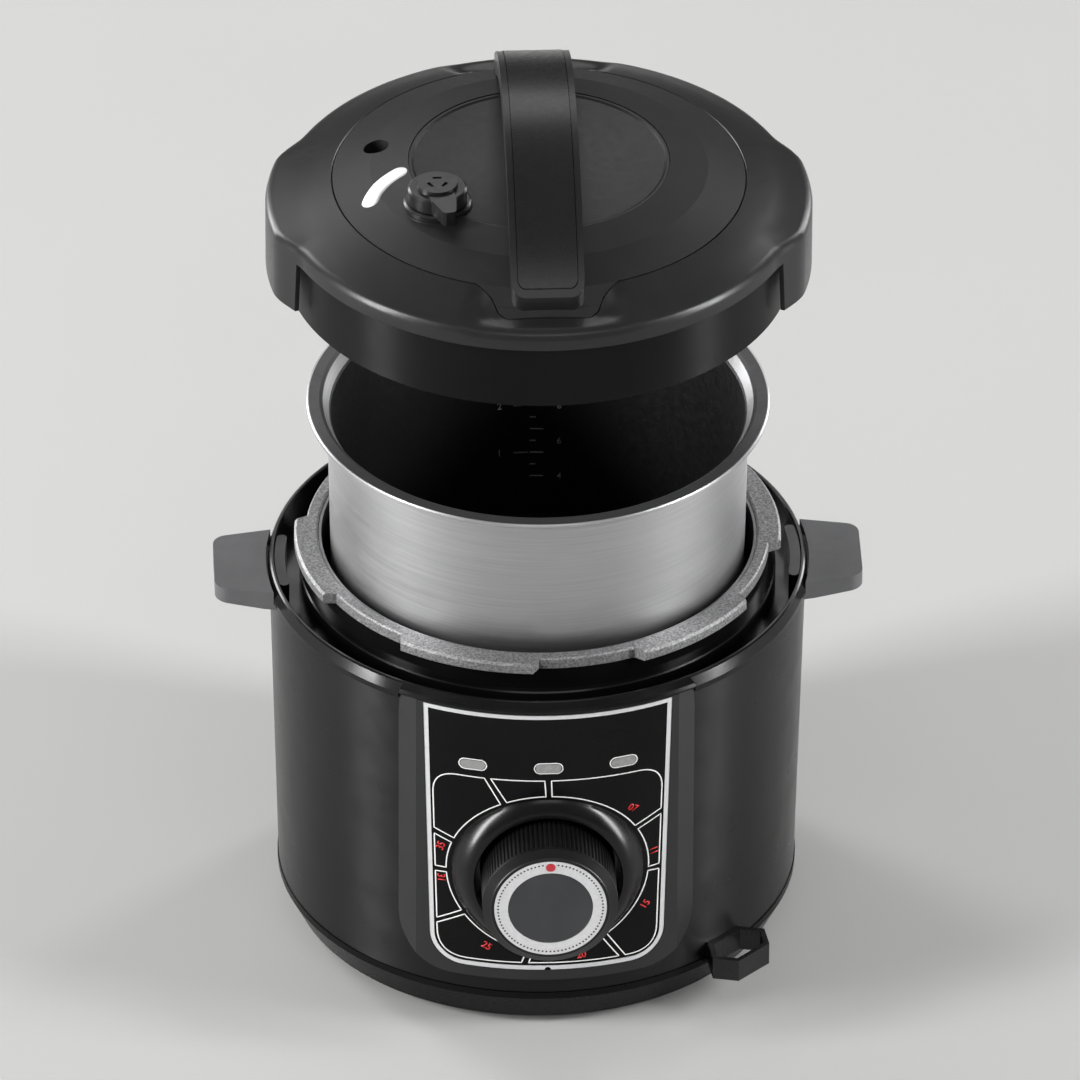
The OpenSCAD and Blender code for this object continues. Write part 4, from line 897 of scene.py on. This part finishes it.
class COOKER_OT_lid_cover(bpy.types.Operator):
    """Make the lid's outer cover in one sweep, with ears that flow out of its rim"""
    bl_idname = "cooker.lid_cover"
    bl_label = "Lid Cover"

    def execute(self, context):
        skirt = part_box("inner_lid")[1]
        cover_low, cover_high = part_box("lid_cover")
        cap_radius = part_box("lid_cap")[1].x + COVER_GAP
        flange = skirt.z + FLANGE_OVER_SKIRT
        rim = skirt.x + RIM_OVER_SKIRT
        flat = rim - RIM_FLAT
        inside = skirt.x + 0.3 * MM

        def height(radius, sunk):
            """Slope from the cap to the rim, sunk to the solids' step where the tongues lie."""
            t = (radius - cap_radius) / (flat - cap_radius)
            slope = CROWN - CROWN_FALL * (0.75 * t + 0.25 * t * t)
            step = SINK_FLOOR
            if radius < cap_radius + SINK_RUN:
                step = CROWN - SINK_FALL * ease(0.12 + 0.88 * (radius - cap_radius) / SINK_RUN)
            return slope + (min(slope, step) - slope) * sunk

        columns = []
        for i in range(COVER_COLUMNS):
            turn = 2 * math.pi * i / COVER_COLUMNS
            from_ear = abs((math.degrees(turn) + EAR_TURN + 90) % 180 - 90)
            from_tongue = abs(math.degrees(turn) % 180 - 90)
            ear = from_ear < EAR_HALF
            flare = ease((FLARE_HALF - from_ear) / FLARE_FADE)
            out = rim + (cover_high.x - rim) * flare
            inner = cap_edge(turn, cap_radius)
            sunk = ease((SINK_HALF - from_tongue) / SINK_FADE)
            brink = height(inner, sunk)
            profile = [(inner, brink - 2.6 * MM), (inner, brink - 0.3 * MM), (inner + 0.4 * MM, brink)]
            shoulder = out - RIM_ROUND
            for k in range(1, 5):
                radius = inner + (shoulder - inner) * k / 4
                drop = max(0.0, radius - rim + RIM_FLAT) * 0.12
                profile.append((radius, height(min(radius, flat), sunk) - drop))
            top = profile[-1][1]
            profile += [(out - 1.9 * MM, top - 0.9 * MM), (out - 0.6 * MM, top - 2.4 * MM),
                        (out, top - 4.8 * MM)]
            foot = cover_low.z - flange if ear else FOOT_EDGE
            back = max(inside, out - COVER_WALL)
            profile += [(out, foot + 0.4 * MM), (out - 0.4 * MM, foot), (back, foot),
                        (back if ear else inside, FOOT_INSIDE)]
            columns.append([(radius * math.cos(turn), radius * math.sin(turn), flange + z)
                            for radius, z in profile])
        cover = loft("lid_cover_sweep", list(zip(*columns)))
        satin = tuple(context.scene.cooker_colours.satin)
        dress(cover, satin_plastic("Lid cover satin", satin, 0.27, 0.36, 0.6, 0.02))
        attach(cover, "lid")
        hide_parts("lid_cover")
        return {"FINISHED"}


BAND_RADIUS = 35 * MM           # round the valve
BAND_FIRST, BAND_LAST = 119.0, 165.5    # degrees
BAND_END = 4.6                          # degrees that a rounded end adds
BAND_STEPS = 60
BAND_NARROWEST = 0.12           # share of the width


class COOKER_OT_lid_band(bpy.types.Operator):
    """Lay the blank white band on the lid, round the steam valve"""
    bl_idname = "cooker.lid_band"
    bl_label = "Lid Band"

    def execute(self, context):
        width = context.scene.cooker_print.band
        sweep = BAND_LAST - BAND_FIRST + 2 * BAND_END
        length = math.radians(sweep) * BAND_RADIUS
        route, taper = [], []
        for k in range(BAND_STEPS + 1):
            turn = math.radians(BAND_FIRST - BAND_END + sweep * k / BAND_STEPS)
            route.append((VALVE_CENTRE.x + BAND_RADIUS * math.cos(turn),
                          VALVE_CENTRE.y + BAND_RADIUS * math.sin(turn)))
            from_end = min(k, BAND_STEPS - k) / BAND_STEPS * length
            short = max(0.0, 1 - from_end / (width / 2))
            taper.append(max(BAND_NARROWEST, math.sqrt(max(0.0, 1 - short ** 2))))
        band = lay_ribbon("lid_band", route, width, taper=taper)
        band.location = (0, 0, VALVE_HIGH.z + 20 * MM)
        settle(band)
        press_on(band, "lid_cap", "Z", INK_LIFT, forward=False)
        thicken(band, INK_SKIN)
        dress(band, painted("Lid band white", tuple(context.scene.cooker_colours.white)))
        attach(band, "lid")
        return {"FINISHED"}


# ---------- pot ----------

FIRST_LEVEL = 33.4 * MM         # over the pot's foot
MARK_START, MARK_SHORT, MARK_LONG, MARK_LINE = 0.2 * MM, 3.2 * MM, 7.2 * MM, 0.8 * MM
LEFT_MARK = (-8.2 * MM, -0.8 * MM)
LEFT_LEVELS = (1, 3)
LEVEL_FIGURE = 4.0 * MM
LEVEL_FIGURES = (
    # figure, millimetres across, and its level: how many pitches over the first
    ("1", -15.5, 1),
    ("2", -15.5, 3),
    ("4", 15.5, 0),
    ("6", 15.5, 1.5),
    ("8", 15.5, 3),
)
LEVEL_GREY = (0.55, 0.55, 0.55)


class COOKER_OT_level_marks(bpy.types.Operator):
    """Mark the levels, with plain numbers, on the back of the pot's coated inside"""
    bl_idname = "cooker.level_marks"
    bl_label = "Level Marks"

    def execute(self, context):
        pitch = context.scene.cooker_print.mark
        start = POT_LOW.z + FIRST_LEVEL
        marks = []
        for i in range(7):
            length = MARK_SHORT if i % 2 else MARK_LONG
            marks.append((MARK_START, MARK_START + length, start + i * pitch / 2))
        for level in LEFT_LEVELS:
            marks.append((*LEFT_MARK, start + level * pitch))
        pieces = []
        for x_from, x_to, height in marks:
            route = fill_in([(x_from, height), (x_to, height)], closed=False)
            pieces.append(lay_ribbon("mark", route, MARK_LINE))
        for text, x, level in LEVEL_FIGURES:
            pieces.append(write_figure(text, LEVEL_FIGURE, (x * MM, start + level * pitch), 0))
        levels = join(pieces, "level_marks")
        stand_up(levels, 0)
        press_on(levels, "inner_pot", "Y", 0.05 * MM)
        thicken(levels, 0.04 * MM)
        dress(levels, painted("Level mark grey", LEVEL_GREY))
        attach(levels, "pot")
        return {"FINISHED"}


# ---------- studio ----------

FLOOR_SIZE, FLOOR_MIDDLE = 32, (0, 4.0, -0.0005)
WALL_EDGE, WALL_HEIGHT, WALL_ROUND = 19, 8, 2.5         # the floor's edge beyond 19 is turned up
BACKDROP = (0.66, 0.66, 0.655)
BACKDROP_FROM, BACKDROP_FULL = 2.4, 5.0                 # distance from the cooker's axis
STUDIO_LAMPS = (
    # name, place, the height on the axis that it points at, size, watts
    ("Left strip", (-3.8, -1.2, 1.45), 0.25, (0.8, 3.2), 312),
    ("Right strip", (3.8, -1.2, 1.45), 0.25, (0.72, 3.2), 240),
    ("Left back strip", (-2.8, 2.8, 1.45), 0.25, (1.0, 3.2), 136),
    ("Right back strip", (2.8, 2.8, 1.45), 0.25, (0.7, 3.2), 80),
    ("Back softbox", (-0.5, 2.8, 2.5), 0.35, (2.4, 1.0), 16),
    ("Front softbox", (0.1, -1.6, 3.0), 0.2, (1.6, 1.0), 10),
)
AIR_GREY, AIR_STRENGTH = (0.62, 0.62, 0.62), 0.3
AIM = Vector((0, 0, 0.201))
SHIFT_X, SHIFT_Y = 0.002407407407, 0.020555555556       # of the picture's width


def floor_paper(colour):
    """Matt paper that the camera sees as an even backdrop far from the cooker."""
    paper = Shader("Studio floor", colour, 0.8)
    paper.mottle(colour, 2.0, 0.015).wander(0.75, 0.85, 3).grain(1.5 * MM, 0.05 * MM, 0.2)
    paper.set(specular_ior_level=0.2)
    glow = paper.tree.nodes.new("ShaderNodeEmission")
    glow.inputs["Color"].default_value = (*BACKDROP, 1)
    seen = paper.tree.nodes.new("ShaderNodeLightPath").outputs["Is Camera Ray"]
    z, away = paper.height_and_reach()
    far = paper.spread(away, 0, 1, BACKDROP_FROM, BACKDROP_FULL)
    mix = paper.tree.nodes.new("ShaderNodeMixShader")
    paper.link(paper.sum(far, seen, "MULTIPLY"), mix.inputs["Fac"])
    paper.link(paper.body.outputs["BSDF"], mix.inputs[1])
    paper.link(glow.outputs["Emission"], mix.inputs[2])
    paper.link(mix.outputs["Shader"], paper.tree.nodes["Material Output"].inputs["Surface"])
    return paper


def lay_floor(colour):
    """A wide floor that turns up into a wall at the back."""
    put_down_all()
    bpy.ops.mesh.primitive_plane_add(size=FLOOR_SIZE, location=FLOOR_MIDDLE)
    floor = settle(bpy.context.object)
    floor.name = "floor"
    bpy.ops.object.mode_set(mode="EDIT")
    bpy.ops.mesh.select_all(action="DESELECT")
    bpy.ops.object.mode_set(mode="OBJECT")
    for edge in floor.data.edges:
        edge.select = all(floor.data.vertices[v].co.y > WALL_EDGE for v in edge.vertices)
    bpy.ops.object.mode_set(mode="EDIT")
    bpy.ops.mesh.select_mode(type="EDGE")
    bpy.ops.mesh.extrude_region_move(TRANSFORM_OT_translate={"value": (0, 0, WALL_HEIGHT)})
    bpy.ops.object.mode_set(mode="OBJECT")
    sweep = floor.modifiers.new("Sweep", "BEVEL")
    sweep.width = WALL_ROUND
    sweep.segments = 16
    sweep.limit_method = "ANGLE"
    fix_modifiers(floor)
    pick(floor)
    bpy.ops.object.shade_smooth()
    dress(floor, floor_paper(colour))


def hang_lamps(scene, light):
    for name, place, aim, size, watts in STUDIO_LAMPS:
        data = bpy.data.lights.new(name, "AREA")
        data.shape = "RECTANGLE"
        data.size, data.size_y = size
        data.energy = watts * light
        lamp = bpy.data.objects.new(name, data)
        scene.collection.objects.link(lamp)
        lamp.location = place
        way = Vector((0, 0, aim)) - Vector(place)
        lamp.rotation_euler = way.to_track_quat("-Z", "Y").to_euler()
    air = bpy.data.worlds.new("Studio air")
    air.use_nodes = True
    air.node_tree.nodes["Background"].inputs["Color"].default_value = (*AIR_GREY, 1)
    air.node_tree.nodes["Background"].inputs["Strength"].default_value = AIR_STRENGTH
    scene.world = air


def set_camera(scene, stage):
    data = bpy.data.cameras.new("Camera")
    data.lens = stage.lens
    data.sensor_width = 36
    data.shift_x = SHIFT_X
    data.shift_y = SHIFT_Y
    data.clip_start, data.clip_end = 0.05, 40
    camera = bpy.data.objects.new("Camera", data)
    scene.collection.objects.link(camera)
    level = math.cos(stage.rise)
    back = Vector((math.sin(stage.swing) * level, -math.cos(stage.swing) * level, math.sin(stage.rise)))
    camera.location = AIM + back * stage.distance
    camera.rotation_mode = "QUATERNION"
    straight = (-back).to_track_quat("-Z", "Y")
    camera.rotation_quaternion = straight @ Quaternion((0, 0, 1), stage.roll)
    scene.camera = camera


class COOKER_OT_stage(bpy.types.Operator):
    """Set up the floor, the lamps and the camera"""
    bl_idname = "cooker.stage"
    bl_label = "Studio"

    def execute(self, context):
        stage = context.scene.cooker_stage
        context.scene.view_settings.view_transform = "Standard"
        lay_floor(tuple(stage.floor))
        hang_lamps(context.scene, stage.light)
        set_camera(context.scene, stage)
        return {"FINISHED"}


class COOKER_PT_panel(bpy.types.Panel):
    """Sidebar panel with every step in order"""
    bl_idname = "COOKER_PT_panel"
    bl_label = "Pressure Cooker"
    bl_space_type = "VIEW_3D"
    bl_region_type = "UI"
    bl_category = "Cooker"

    def draw(self, context):
        scene = context.scene
        column = self.layout.column(align=True)
        for step in STEPS:
            column.operator(step.bl_idname)
        for group in (scene.cooker_print, scene.cooker_colours, scene.cooker_stage):
            box = self.layout.box()
            for name in group.__annotations__:
                box.prop(group, name)


STEPS = (
    COOKER_OT_black_parts,
    COOKER_OT_metal_parts,
    COOKER_OT_pot_finish,
    COOKER_OT_panel_lines,
    COOKER_OT_minutes,
    COOKER_OT_dial_surround,
    COOKER_OT_knob_dots,
    COOKER_OT_lid_cover,
    COOKER_OT_lid_band,
    COOKER_OT_level_marks,
    COOKER_OT_stage,
)
CLASSES = (CookerPrint, CookerColours, CookerStage, *STEPS, COOKER_PT_panel)


def register():
    for item in CLASSES:
        bpy.utils.register_class(item)
    bpy.types.Scene.cooker_print = bpy.props.PointerProperty(type=CookerPrint)
    bpy.types.Scene.cooker_colours = bpy.props.PointerProperty(type=CookerColours)
    bpy.types.Scene.cooker_stage = bpy.props.PointerProperty(type=CookerStage)


def unregister():
    for name in ("cooker_print", "cooker_colours", "cooker_stage"):
        delattr(bpy.types.Scene, name)
    for item in reversed(CLASSES):
        bpy.utils.unregister_class(item)


def main():
    register()
    put_down_all()
    for step in STEPS:
        family, name = step.bl_idname.split(".")
        getattr(getattr(bpy.ops, family), name)()


if __name__ == "__main__":
    main()
